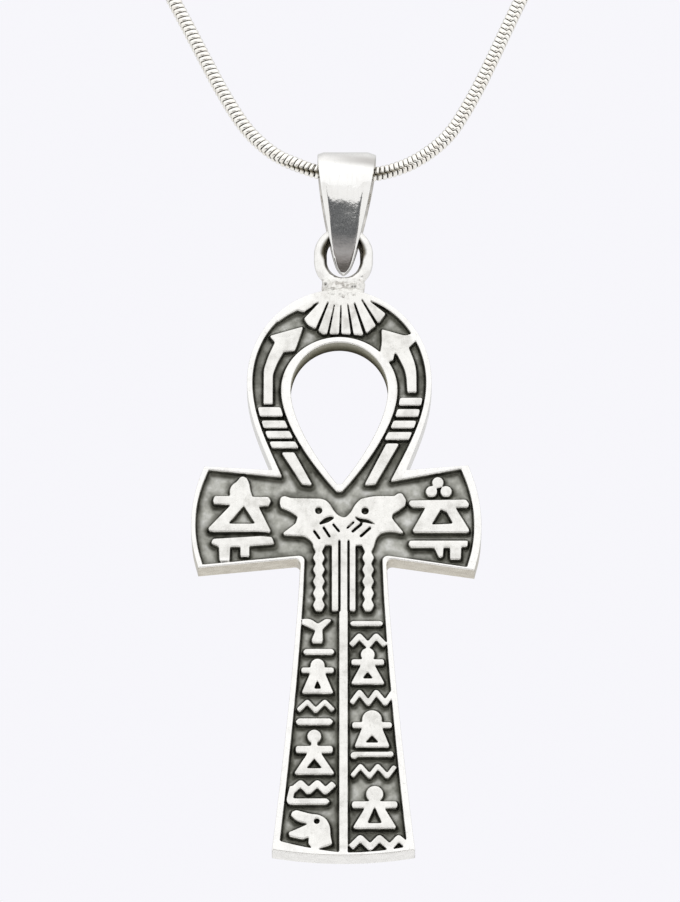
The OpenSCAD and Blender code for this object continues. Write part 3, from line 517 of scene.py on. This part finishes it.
# Painted shade: the ground and walls under the signs, which look down, are darkened, and those above them,
# which look up, are lightened, as light from above would fall
tarnish_and_shade = both("SUBTRACT", tarnish_and_shade, both("MULTIPLY", both("MAXIMUM", up_value, 0.0), 0.28))
# blackened carries the ground's blackening together with the painted shade under the signs
blackened = stretch(tarnish_and_shade, 0.08, 0.4)
in_open = both("ADD", open_value, both("MULTIPLY", both("SUBTRACT", cloud, 0.5), 0.9))
# Painted light: the ground beside walls that look up is lightened
in_open = both("ADD", in_open, both("MULTIPLY", up_value, 0.3))
near_walls = ramp(add, mottle, (0.3, (0.045, 0.045, 0.035)), (0.75, (0.2, 0.2, 0.17)))
far_from_walls = ramp(add, mottle, (0.3, (0.27, 0.27, 0.24)), (0.5, (0.48, 0.48, 0.44)),
                      (0.7, (0.7, 0.7, 0.68)))
ground = blend(stretch(in_open, 0.18, 0.9), near_walls, far_from_walls)
speck = both("MULTIPLY", stretch(fine, 0.62, 0.7), 0.35)
tops = ramp(add, mottle, (0.3, (0.64, 0.63, 0.6)), (0.48, (0.82, 0.81, 0.78)), (0.62, (0.89, 0.88, 0.85)))
rims = ramp(add, mottle, (0.25, (0.8, 0.79, 0.77)), (0.45, (0.93, 0.92, 0.9)))
tops = blend(speck, blend(rim_value, tops, rims), (0.42, 0.41, 0.37, 1))
# The solder has run a little way over the plate's top
spill_z, spill_end, spill_start = -129.9, 3.2, 1.2
from_ring = add("ShaderNodeVectorMath", {0: place, 1: (0, plate_front * MM, spill_z * MM)},
                operation="DISTANCE").outputs["Value"]
spilled = ramp(add, mottle, (0.36, (0.62, 0.6, 0.57)), (0.5, (0.85, 0.84, 0.81)))
tops = blend(stretch(from_ring, spill_end * MM, spill_start * MM), tops, spilled)
tops = blend(both("MULTIPLY", scratch, 0.1), tops, (0.5, 0.49, 0.45, 1))
colour = blend(blackened, tops, ground)
# The sides are bright, with painted shade on them under the arms; the hole's wall is blackened, with painted
# shade that deepens towards the back
_, depth, height = add("ShaderNodeSeparateXYZ", {0: place}).outputs
shade_low, shade_high = (-154.5, -154.0), (-150.9, -151.7)
# Painted shade on the sides under the arms
shade_under_arms = both("MULTIPLY", *(stretch(height, bright * MM, shaded_at * MM)
                                for bright, shaded_at in (shade_low, shade_high)))
bright_side = ramp(add, mottle, (0.3, (0.8, 0.79, 0.77)), (0.6, (0.93, 0.92, 0.9)))
shaded_side = ramp(add, mottle, (0.3, (0.42, 0.375, 0.295)), (0.65, (0.63, 0.59, 0.5)))
colour = blend(side_value, colour, blend(shade_under_arms, bright_side, shaded_side))
# Blackened wall of the hole, with painted shade that darkens it from its front towards its back
far_in = both("ADD", stretch(depth, plate_front * MM, plate_back * MM),
              both("MULTIPLY", both("SUBTRACT", mottle, 0.5), 0.5))
hole_tone_and_shade = ramp(add, far_in, (0.05, (0.4, 0.39, 0.33)), (0.9, (0.06, 0.055, 0.038)),
                 (0.45, (0.22, 0.21, 0.16)))
link(blend(hole_value, colour, hole_tone_and_shade), shader.inputs["Base Color"])
link(both("SUBTRACT", 1.0, hole_value), shader.inputs["Metallic"])
shader.inputs["Specular IOR Level"].default_value = 0
link(both("ADD", stretch(blackened, 0, 1, 0.2, 0.42), both("MULTIPLY", fine, 0.12)),
     shader.inputs["Roughness"])
grain = both("ADD", both("MULTIPLY", mottle, blackened), both("MULTIPLY", scratch, -0.08))
grain = both("ADD", grain, both("MULTIPLY", both("MULTIPLY", hole_value, fine), 3.0))
bumpy(shader, link, add, grain, 0.5, 0.00005)
ankh_plate.data.materials.append(silver)
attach(ankh_plate, "ankh")
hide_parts("ankh")

# Ring and solder
# Upright ring of round silver wire, soldered to the top of the plate. The solder has run into a
# rough saddle with small pits, which was left unpolished.
ring_wire, ring_middle = 1.1, 1.925
# The ring is drawn out upright, so its two halves have their own middles
ring_low, ring_high = -126.645, -126.095
# The ring, the bail and the chain's low part hang in one plane
hang_y = -88.0
saddle_width = 3.5
ring_turns, ring_sides = 64, 24


def band_faces(rows, sides):
    """Four-sided faces between rows of points, where each row and the band of rows closes on itself."""
    return [(i * sides + j, i * sides + (j + 1) % sides, (i + 1) % rows * sides + (j + 1) % sides,
             (i + 1) % rows * sides + j) for i in range(rows) for j in range(sides)]


angle = 2 * np.pi * (np.arange(ring_turns) + 0.5) / ring_turns
outward = np.stack([np.cos(angle), 0 * angle, np.sin(angle)], 1)
ring_path = outward * ring_middle + np.stack([0 * angle, 0 * angle + hang_y,
                                              np.where(np.sin(angle) > 0, ring_high, ring_low)], 1)
around = 2 * np.pi * np.arange(ring_sides)[None, :, None] / ring_sides
ring_places = ring_path[:, None] + ring_wire / 2 * (np.cos(around) * outward[:, None]
                                                    + np.sin(around) * np.array([0.0, 1, 0]))
mesh_make = bmesh.new()
ring_verts = [mesh_make.verts.new(p) for p in ring_places.reshape(-1, 3)]
for face in band_faces(ring_turns, ring_sides):
    mesh_make.faces.new([ring_verts[k] for k in face])
# Lumps of solder, as centre and half sizes
solder_lumps = [((0, -88.05, -129.2), (saddle_width / 2, 0.62, 0.75)),
                ((-1.4, -88.15, -128.75), (0.45, 0.6, 0.8)), ((1.35, -88.15, -128.8), (0.45, 0.6, 0.75)),
                ((-0.5, -88.25, -129.1), (0.8, 0.75, 0.6)), ((0.7, -88.2, -129.15), (0.75, 0.8, 0.55)),
                ((-1.0, -88.85, -129.75), (0.8, 0.66, 0.6)), ((0.9, -88.85, -129.7), (0.85, 0.67, 0.55)),
                ((0, -88.85, -129.8), (0.9, 0.68, 0.7))]
for middle, half in solder_lumps:
    bmesh.ops.create_icosphere(mesh_make, subdivisions=3, radius=1,
                               matrix=Matrix.Translation(middle) @ Matrix.Diagonal((*half, 1)))
bmesh.ops.recalc_face_normals(mesh_make, faces=mesh_make.faces)
ankh_ring = new_piece("ring_and_solder", [], [])
mesh_make.to_mesh(ankh_ring.data)
mesh_make.free()
melt = ankh_ring.modifiers.new("melt", "REMESH")
melt.mode, melt.voxel_size = "VOXEL", 0.07
relax = ankh_ring.modifiers.new("relax", "SMOOTH")
relax.factor, relax.iterations = 0.5, 3


def settled(piece):
    """The piece's mesh once its modifiers have run, with none of them left on it."""
    bpy.context.view_layer.update()
    mesh = bpy.data.meshes.new_from_object(piece.evaluated_get(bpy.context.evaluated_depsgraph_get()))
    piece.modifiers.clear()
    piece.data = mesh
    mesh.name = piece.name
    mesh.polygons.foreach_set("use_smooth", [True] * len(mesh.polygons))
    return mesh


ring_mesh = settled(ankh_ring)
points, normals = places_of(ring_mesh), places_of(ring_mesh, "normal")
solder_from, solder_fade = -128.05, 0.5
solder_share = np.clip((solder_from - points[:, 2]) / solder_fade, 0, 1)
lump_scale, lump_roughness, lump_step, lump_layers = 1.9, 0.6, 2.1, 4
lumps = np.array([noise.fractal(Vector(p) * lump_scale, lump_roughness, lump_step, lump_layers)
                  for p in points])
# Pits in the solder, as x, z and radius
pits = [(-1.51, -128.8, 0.13), (0.74, -129.02, 0.1), (0.98, -129.0, 0.1), (-0.82, -129.4, 0.11)]
pit_depth = np.zeros(len(points))
for x, z, radius in pits:
    away = np.hypot(points[:, 0] - x, points[:, 2] - z)
    pit_depth = np.maximum(pit_depth, np.exp(-(away / radius)**2) * (normals[:, 1] < 0))
rough_height, pit_drop, wire_height = 0.07, 0.14, 0.012
rise = solder_share * (rough_height * lumps - pit_drop * pit_depth) + wire_height * lumps
points += normals * rise[:, None]
ring_mesh.vertices.foreach_set("co", (points * MM).ravel())
ring_mesh.update()
paint(ankh_ring, "solder", solder_share)
paint(ankh_ring, "pit", pit_depth)
# Painted shade on the inside of the ring above the solder, over a wider band in its upper half
from_middle = points[:, [0, 2]] - np.stack([0 * points[:, 0], np.clip(points[:, 2], ring_low, ring_high)], 1)
from_middle /= np.linalg.norm(from_middle, axis=1)[:, None] + 1e-9
inwards = -(from_middle * normals[:, [0, 2]]).sum(1)
upper_from, upper_fade, over_from, over_fade = -126.7, 0.6, -127.9, 0.8
upper_half = np.clip((points[:, 2] - upper_from) / upper_fade, 0, 1)
over_solder = np.clip((points[:, 2] - over_from) / over_fade, 0, 1)
inner_from, inner_fade, wider_above = 0.35, 0.4, 0.5
inner_side = np.clip((inwards - inner_from + wider_above * upper_half) / inner_fade, 0, 1)
paint(ankh_ring, "inner", inner_side * over_solder)

solder_silver, shader, link, add, blend, stretch, both = new_finish("soldered_silver")
place, mottle, scratch = marks_on(add, 1300, 1500)
solder_value, pit_value, inner_value = painted(add, "solder", "pit", "inner")
wire = ramp(add, mottle, (0.2, (0.72, 0.71, 0.68)), (0.5, (0.86, 0.85, 0.83)))
wire = blend(both("MULTIPLY", scratch, 0.2), wire, (0.5, 0.48, 0.44, 1))
lumpy = ramp(add, mottle, (0.36, (0.5, 0.47, 0.44)), (0.5, (0.84, 0.83, 0.8)))
# The colour of the painted shade inside the ring
ring_inside_shade = ramp(add, mottle, (0.3, (0.05, 0.045, 0.03)), (0.7, (0.2, 0.18, 0.14)))
colour = blend(inner_value, blend(solder_value, wire, lumpy), ring_inside_shade)
link(blend(pit_value, colour, (0.1, 0.09, 0.08, 1)), shader.inputs["Base Color"])
shader.inputs["Metallic"].default_value = 1
link(stretch(solder_value, 0, 1, 0.2, 0.5), shader.inputs["Roughness"])
bumpy(shader, link, add, both("MULTIPLY", clouds(add, place, 3800, 4), solder_value), 0.4, 0.00003)
ring_mesh.materials.append(solder_silver)
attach(ankh_ring, "ankh")
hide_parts("ankh")

# Bail
# One strip of sheet silver, cut to a long taper, bent over the chain and closed at its tip. It is
# machine polished, with the cut edges broken by a file, so that they catch a line of light.
bail_z = -119.97
bail_inner, bail_outer = 2.2, 2.7
inner_point, bail_tip = -127.27, -127.82
tip_half = 0.351
# The front leg leans a little where it leaves the round, more from its first bend on, and most at its
# tip, which starts to bend some way down
leg_start, leg_steepest, tip_gain = math.radians(13), math.radians(30), math.radians(6)
first_bend, tip_bend_from, tip_bend = 2.2, 3.5, 3.9
bail_slant, bail_twist = 0.027, 0.0065
# The chain's middle, from which the strip's outline is measured
hang_z = -119.0


def bezier(points, count):
    """Points along a curve with four handles."""
    t = np.linspace(0, 1, count)[:, None]
    a, b, c, d = np.array(points, float)
    return a * (1 - t)**3 + 3 * b * t * (1 - t)**2 + 3 * c * t**2 * (1 - t) + d * t**3


side_line = bezier([(2.45, 1.73), (2.45, -0.97), (1.08, -7.1), (0.68, -8.1)], 40)
point_line = [(0.62, -8.25), (0.54, -8.4), (0.42, -8.58), (0.27, -8.74), (0.1, -8.82)]
side_line = np.vstack([side_line, point_line])[::-1]


def bail_half_width(z):
    """Half the strip's width at a height."""
    return np.interp(z - hang_z, side_line[:, 1], side_line[:, 0])


turn = np.linspace(-leg_start, math.pi + leg_start, 61)
rounding = np.array([(tip_half, 0.0), (0.3, -0.045), (0.18, -0.08), (0, -0.09), (-0.18, -0.08),
                     (-0.3, -0.045), (-tip_half, 0)])
leg_steps = 60


def ease(x):
    """From 0 to 1 with soft ends."""
    x = np.clip(x, 0, 1)
    return x * x * (3 - 2 * x)


def leg_line(radius, end_half, end_z):
    """The front leg's line, (y, z), from the round to its end, with a lean that grows on the way."""
    start = np.array([-radius * math.cos(leg_start), -radius * math.sin(leg_start) + bail_z])
    length = math.hypot(start[0] + end_half, start[1] - end_z)
    t = (np.arange(leg_steps) + 0.5) / leg_steps
    low, high = leg_start, leg_steepest
    halvings = 40
    for _ in range(halvings):
        middle = (low + high) / 2
        lean = (leg_start + (middle - leg_start) * ease(t * length / first_bend)
                + tip_gain * ease((t * length - tip_bend_from) / tip_bend))
        steps = np.stack([np.sin(lean), -np.cos(lean)], 1)
        steps *= (start[1] - end_z) / np.cos(lean).sum()
        low, high = (low, middle) if start[0] + steps[:, 0].sum() > -end_half else (middle, high)
    return start + np.cumsum(steps, 0)


def teardrop(radius, end_half, end_z):
    """The strip's edge-on line, (y, z), from the front tip over the top to the back tip."""
    arc = np.stack([-radius * np.cos(turn), radius * np.sin(turn) + bail_z], 1)
    front = leg_line(radius, end_half, end_z)[1::2]
    return np.vstack([front[::-1], arc, front * [-1, 1]])


# The legs all but touch inside the fold
fold_half, fold_width = 0.004, 0.003
outer_line = np.vstack([teardrop(bail_outer, tip_half, bail_tip), (rounding + [0, bail_tip])[1:-1]])
inner_line = np.vstack([teardrop(bail_inner, fold_half, inner_point),
                        [(y, inner_point) for y in np.linspace(fold_width, -fold_width, len(rounding) - 2)]])
# The filed bevel beside the flat face, which narrows with the strip, and how far it drops as it goes out
bevel_at = np.array([(0.6, 0.12), (1.0, 0.17), (1.3, 0.27), (1.6, 0.45), (2.1, 0.6)])
bevel_fall, bevel_left, bevel_right = 0.344, 0.85, 1.15
edge_wear, bevel_most = 0.1, 0.6


def bevelled(wide, share):
    """The filed edge as (distance in from the strip's side, depth), from the flat face to the side."""
    wear = min(edge_wear, wide / 3)
    bevel = min(share * np.interp(wide, bevel_at[:, 0], bevel_at[:, 1]), wide * bevel_most)
    low, soft = (bevel - wear) * bevel_fall, 0.3 * wear
    return [(bevel + soft, 0.0), (bevel - soft, soft * bevel_fall), (wear, low),
            (soft, low + 0.35 * wear), (0.0, low + wear)]


inner_round, flat_count = 0.06, 13
twist_start, twist_over = 0.6, 3
# How dull each point is: polished over the face and the bevels, and as cut on the sides and inside
bevel_dull = [0, 0.1, 0.5]
bail_places, bail_side = [], []
for (oy, oz), (iy, iz) in zip(outer_line, inner_line):
    wide, wide_in = bail_half_width(oz), bail_half_width(iz)
    thick = np.array([iy - oy, iz - oz])
    size = np.linalg.norm(thick)
    thick /= size
    left, right = bevelled(wide, bevel_left), bevelled(wide, bevel_right)
    # Along the outer face, down the bevel and the side, and back along the inner face
    flat = np.linspace(left[0][0] - wide, wide - right[0][0], flat_count)
    row = [(x, 0.0) for x in flat] + [(wide - away, deep) for away, deep in right[1:]]
    row += [(wide_in, size - inner_round), (wide_in - inner_round, size)]
    row += [((wide_in - inner_round) * a, size) for a in (0.5, 0, -0.5)]
    row += [(-wide_in + inner_round, size), (-wide_in, size - inner_round)]
    row += [(away - wide, deep) for away, deep in left[:0:-1]]
    for x, deep in row:
        y, z = oy + thick[0] * deep, oz + thick[1] * deep
        twisted = bail_twist * x * np.clip(bail_z - twist_start - z, 0, twist_over) * (1 if y < 0 else -1)
        bail_places.append((x + bail_slant * (z - bail_tip), hang_y + y - twisted, z))
    as_cut = len(row) - flat_count - 2 * len(bevel_dull)
    bail_side += [0.0] * flat_count + bevel_dull + [1.0] * as_cut + bevel_dull[::-1]
polished_bail = new_piece("polished_bail", bail_places, band_faces(len(outer_line), len(row)))
face_outwards(polished_bail)
paint(polished_bail, "side", bail_side)

bail_silver, shader, link, add, blend, stretch, both = new_finish("polished_silver")
place, mottle, scratch = marks_on(add, 800, 1100)
side_value, = painted(add, "side")
waves, flecks = clouds(add, place, 900), clouds(add, place, 3500)
polish = ramp(add, mottle, (0.25, (0.88, 0.87, 0.85)), (0.5, (0.95, 0.945, 0.93)))
polish = blend(both("MULTIPLY", scratch, 0.15), polish, (0.6, 0.59, 0.56, 1))
# Painted shade: a soft darker band slants down across the round top and is strongest on its right
top_shade_z, top_shade_slant, top_shade_half, top_shade_core = -118.3, 0.1, 0.9, 0.1
least_top_shade, most_top_shade = -3.5, 2.5
to_right, _, height = add("ShaderNodeSeparateXYZ", {0: place}).outputs
over_band = both("ADD", both("SUBTRACT", height, top_shade_z * MM), both("MULTIPLY", to_right, top_shade_slant))
top_shade = both("MULTIPLY", stretch(both("ABSOLUTE", over_band, 0.0), top_shade_half * MM, top_shade_core * MM),
              stretch(to_right, least_top_shade * MM, most_top_shade * MM, 0.12, 0.85))
# The painted shade on the round top
polish = blend(top_shade, polish, (0.4, 0.385, 0.37, 1))
cut_side = ramp(add, mottle, (0.3, (0.3, 0.29, 0.27)), (0.7, (0.6, 0.58, 0.55)))
link(blend(stretch(side_value, 0.6, 1), polish, cut_side), shader.inputs["Base Color"])
shader.inputs["Metallic"].default_value = 1
link(stretch(mottle, 0.3, 0.7, 0.03, 0.07), shader.inputs["Roughness"])
bumpy(shader, link, add, both("ADD", waves, both("MULTIPLY", flecks, 0.35)), 0.3, 0.00002)
polished_bail.data.materials.append(bail_silver)
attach(polished_bail, "bail")
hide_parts("bail")

# Snake chain
# Round snake chain of wavy silver rings pressed into each other, about 0.43 mm apart. Each ring bends
# back at a seam along the chain, beyond which its other half lies half a step along.
chain_pitch, chain_radius, chain_groove = 0.425, 0.6, 0.49
# The chain's route: from the right of the V round the neck, as x, y and z, mirrored for the left, and
# the V's two sides as x and z, with z from the chain's lowest point
round_neck = [(20, -88, -93), (27, -88, -78.5), (34, -88, -64.5), (41, -87.5, -51), (47.5, -84.5, -39.5),
              (52.5, -78, -30), (55.5, -69, -22.5), (56.5, -58, -17), (55.5, -47, -12.5), (52.5, -36, -8.5),
              (47, -25.5, -5.5), (39, -15.5, -3), (29, -7.5, -1.4), (19, -2.3, -0.4), (12, -0.3, 0),
              (8.5, 0, 0)]
v_left = [(-14.1, 14.8), (-11.55, 9.8), (-10.2, 7.2), (-8.65, 4.6), (-7.3, 2.95), (-5.6, 1.55), (-3.9, 0.75),
          (-2.4, 0.2), (-1.1, 0)]
v_right = [(0, -0.05), (1.1, -0.15), (2.4, -0.1), (3.9, 0.2), (5.6, 0.85), (7.2, 1.85), (8.6, 3.1),
           (9.7, 4.6), (11.15, 7.2), (12.4, 9.8), (14.7, 14.8)]
chain_end, route_steps = 4.83, 24
chain_route = [(-chain_end, 0, 0)] + [(-x, y, z) for x, y, z in round_neck[::-1]]
chain_route += [(x, hang_y, hang_z + z) for x, z in v_left + v_right]
chain_route += round_neck + [(chain_end, 0, 0)]


def smooth_route(points, steps):
    """Points along one smooth curve through the route's points."""
    p = np.array(points, float)
    p = np.vstack([2 * p[0] - p[1], p, 2 * p[-1] - p[-2]])
    t = (np.arange(steps) / steps)[:, None]
    out = [0.5 * (2 * b + (c - a) * t + (2 * a - 5 * b + 4 * c - d) * t**2 + (3 * b - a - 3 * c + d) * t**3)
           for a, b, c, d in zip(p, p[1:], p[2:], p[3:])]
    return np.vstack(out + [p[-2:-1]])


route_places = smooth_route(chain_route, route_steps)
route_edges = [(i, i + 1) for i in range(len(route_places) - 1)]
snake_chain = new_piece("wavy_snake_chain", route_places, [], route_edges)

# One ring of the chain: its sides in degrees round the chain, from the front (0) upwards, how far each
# lies along the chain in steps, how deep its seam is, and how dark its groove
seam_front, seam_back = -20, 160
half_ring = [(-8, 0.5, 0.35, 0.7), (0, 0.25, 1, 1), (8, 0, 0.35, 1), (32, 0.08, 0, 0.9), (60, 0.2, 0, 0.72),
             (90, 0.32, 0, 0.6), (120, 0.42, 0, 0.75), (150, 0.48, 0, 1)]
ring_sides_at = [(seam + side, shift, dip, dark) for seam in (seam_front, seam_back)
                 for side, shift, dip, dark in half_ring]
shoulder_at, shoulder_radius, shoulder_dirt = 0.33, chain_radius - 0.022, 0.1
ring_profile = [(-0.5, chain_groove, 1.0), (-shoulder_at, shoulder_radius, shoulder_dirt),
                (0.0, chain_radius, 0.0), (shoulder_at, shoulder_radius, shoulder_dirt),
                (0.5, chain_groove, 1.0)]
seam_drop, seam_shoulder, half_shift = 0.08, 0.4, 0.25
link_places, link_groove, link_seam = [], [], []
for side, shift, seam, dark in ring_sides_at:
    a = math.radians(side)
    for along, radius, groove in ring_profile:
        radius -= seam_drop * max(0, seam - seam_shoulder)
        link_places.append((radius * math.cos(a), -radius * math.sin(a),
                            (along + shift - half_shift) * chain_pitch))
        link_groove.append(groove * dark)
        link_seam.append(seam)
chain_link = new_piece("chain_link", link_places, band_faces(len(ring_sides_at), len(ring_profile)))
paint(chain_link, "groove", link_groove)
paint(chain_link, "seam", link_seam)

chain_silver, shader, link, add, blend, stretch, both = new_finish("snake_chain_silver")
place, mottle, _ = marks_on(add, 1500, 1500)
groove_value, seam_value = painted(add, "groove", "seam")
# The grooves and the seam are darker near the bail
darkening_end, darkening_full = 6.5, 3
from_bail = add("ShaderNodeVectorMath", {0: place, 1: (0, hang_y * MM, hang_z * MM)},
                operation="DISTANCE").outputs["Value"]
near_bail = stretch(from_bail, darkening_end * MM, darkening_full * MM)
rib = ramp(add, mottle, (0.3, (0.9, 0.86, 0.8)), (0.6, (0.96, 0.95, 0.91)))
seam_dirt = stretch(both("MULTIPLY", seam_value, stretch(near_bail, 0, 1, 0.4, 1.5)), 0.1, 0.8)
dirt = both("MAXIMUM", stretch(groove_value, 0.45, 1.1), seam_dirt)
stain = blend(near_bail, (0.76, 0.73, 0.64, 1), (0.26, 0.235, 0.17, 1))
link(blend(dirt, rib, stain), shader.inputs["Base Color"])
shader.inputs["Metallic"].default_value = 1
link(stretch(dirt, 0, 1, 0.22, 0.55), shader.inputs["Roughness"])

laying = bpy.data.node_groups.new("lay_links", "GeometryNodeTree")
sockets(laying, "INPUT", Route="Geometry", Link="Object", Pitch="Float", Twist="Float",
        Twist_From="Float", Twist_To="Float", Silver="Material")
sockets(laying, "OUTPUT", Chain="Geometry")
step = node_maker(laying)[0]
given = step("NodeGroupInput").outputs
curve = step("GeometryNodeMeshToCurve", {"Mesh": given["Route"]}).outputs["Curve"]
curve = step("GeometryNodeSetCurveNormal", {"Curve": curve}, mode="Z_UP").outputs["Curve"]
spots = step("GeometryNodeCurveToPoints", {"Curve": curve, "Length": given["Pitch"]}, mode="LENGTH").outputs
link_shape = step("GeometryNodeObjectInfo", {"Object": given["Link"]}).outputs["Geometry"]
laid = step("GeometryNodeInstanceOnPoints", {"Points": spots["Points"], "Instance": link_shape,
                                             "Rotation": spots["Rotation"]}).outputs["Instances"]
# The chain lies twisted to the left of the bail, so that its seam runs out of sight there
where = step("ShaderNodeSeparateXYZ", {0: step("GeometryNodeInputPosition").outputs[0]}).outputs["X"]
twist = step("ShaderNodeMapRange", {"Value": where, "From Min": given["Twist From"],
                                    "From Max": given["Twist To"], "To Min": 0.0,
                                    "To Max": given["Twist"]}).outputs["Result"]
turned = step("ShaderNodeCombineXYZ", {"Z": twist}).outputs[0]
laid = step("GeometryNodeRotateInstances", {"Instances": laid, "Rotation": turned}).outputs[0]
laid = step("GeometryNodeRealizeInstances", {"Geometry": laid}).outputs[0]
laid = step("GeometryNodeSetMaterial", {"Geometry": laid, "Material": given["Silver"]}).outputs[0]
step("NodeGroupOutput", {"Chain": laid})
weave = snake_chain.modifiers.new("lay_links", "NODES")
weave.node_group = laying
chain_twist, twist_near, twist_far = math.radians(45), -2.2, -6
sizes_of_chain = {"Link": chain_link, "Pitch": chain_pitch * MM, "Twist": chain_twist,
                  "Twist From": twist_near * MM, "Twist To": twist_far * MM, "Silver": chain_silver}
for socket in laying.interface.items_tree:
    if socket.name in sizes_of_chain:
        weave[socket.identifier] = sizes_of_chain[socket.name]
settled(snake_chain)
bpy.data.objects.remove(chain_link)
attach(snake_chain, "necklace")
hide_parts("snake_chain")

# Caps and clasp
# Tube caps glued over the chain's ends, and the plain spring ring that links their eyes at the nape.
# They are the same polished silver as the bail, with fine scratches from wear.
fastener_silver, shader, link, add, blend, stretch, both = new_finish("worn_silver")
_, mottle, scratch = marks_on(add, 1200, 1000)
worn = ramp(add, mottle, (0.3, (0.62, 0.6, 0.55)), (0.55, (0.93, 0.92, 0.89)))
link(blend(both("MULTIPLY", scratch, 0.4), worn, (0.4, 0.38, 0.34, 1)), shader.inputs["Base Color"])
shader.inputs["Metallic"].default_value = 1
link(stretch(mottle, 0.3, 0.7, 0.32, 0.12), shader.inputs["Roughness"])
bumpy(shader, link, add, both("ADD", mottle, both("MULTIPLY", scratch, -0.5)), 0.3, 0.00003)
for name in ("chain_cap_left", "chain_cap_right", "clasp"):
    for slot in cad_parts[name].material_slots:
        slot.material = fastener_silver

# Studio
# White surroundings that are a little brighter from above, a pale floor far below, and a grey card
# below the lens, which the polished bail mirrors.
bpy.context.scene.view_settings.view_transform = "Standard"
world = bpy.data.worlds.new("studio")
world.use_nodes = True
bpy.context.scene.world = world
add, blend, stretch, _ = node_maker(world.node_tree)
_, depth, height = add("ShaderNodeSeparateXYZ", {0: add("ShaderNodeTexCoord").outputs["Generated"]}).outputs
softbox = ramp(add, stretch(height, -1, 1), (0.0, (0.5, 0.5, 0.5)), (1.0, (1.22, 1.22, 1.22)),
               (0.3, (1.02, 1.02, 1.02)), (0.5, (1.08, 1.08, 1.08)), (0.7, (1.1, 1.1, 1.1)))
softbox = blend(stretch(depth, 0.0, 0.9), softbox, (0.72, 0.72, 0.72, 1))
seen = add("ShaderNodeLightPath").outputs["Is Camera Ray"]
backdrop = world.node_tree.nodes["Background"]
world.node_tree.links.new(blend(seen, softbox, (0.93, 0.925, 0.965, 1)), backdrop.inputs["Color"])
corners = [(-1, -1), (1, -1), (1, 1), (-1, 1)]
floor_half, floor_z = 6000, -1200
floor = new_piece("floor", [(x * floor_half, y * floor_half, floor_z) for x, y in corners], [(0, 1, 2, 3)])
paper, shader, *_ = new_finish("pale_paper")
shader.inputs["Base Color"].default_value = (0.86, 0.855, 0.85, 1)
shader.inputs["Roughness"].default_value = 0.8
floor.data.materials.append(paper)
card_away, card_top, card_bottom, card_half = 700, math.radians(-15.6), math.radians(-42), 420
card_high, card_low = [bail_z + card_away * math.tan(a) for a in (card_top, card_bottom)]
card = new_piece("grey_card", [(x * card_half, hang_y - card_away, card_low if z < 0 else card_high)
                               for x, z in corners], [(0, 1, 2, 3)])
card_paper, shader, link, add, *_ = new_finish("grey_card")
height = add("ShaderNodeSeparateXYZ", {0: add("ShaderNodeTexCoord").outputs["Object"]}).outputs["Z"]
share = add("ShaderNodeMapRange", {"Value": height, "From Min": card_low * MM,
                                   "From Max": card_high * MM}).outputs[0]
# The card is dark at its foot, has one soft light band, and is light again along its top edge
link(ramp(add, share, (0.0, (0.1, 0.09, 0.08)), (1.0, (0.44, 0.44, 0.44)), (0.54, (0.11, 0.1, 0.09)),
          (0.6, (0.28, 0.26, 0.25)), (0.7, (0.43, 0.415, 0.415)), (0.8, (0.32, 0.31, 0.31)),
          (0.92, (0.13, 0.135, 0.14)), (0.96, (0.14, 0.145, 0.15))), shader.inputs["Base Color"])
shader.inputs["Roughness"].default_value = 1
card.data.materials.append(card_paper)
card.visible_camera = False
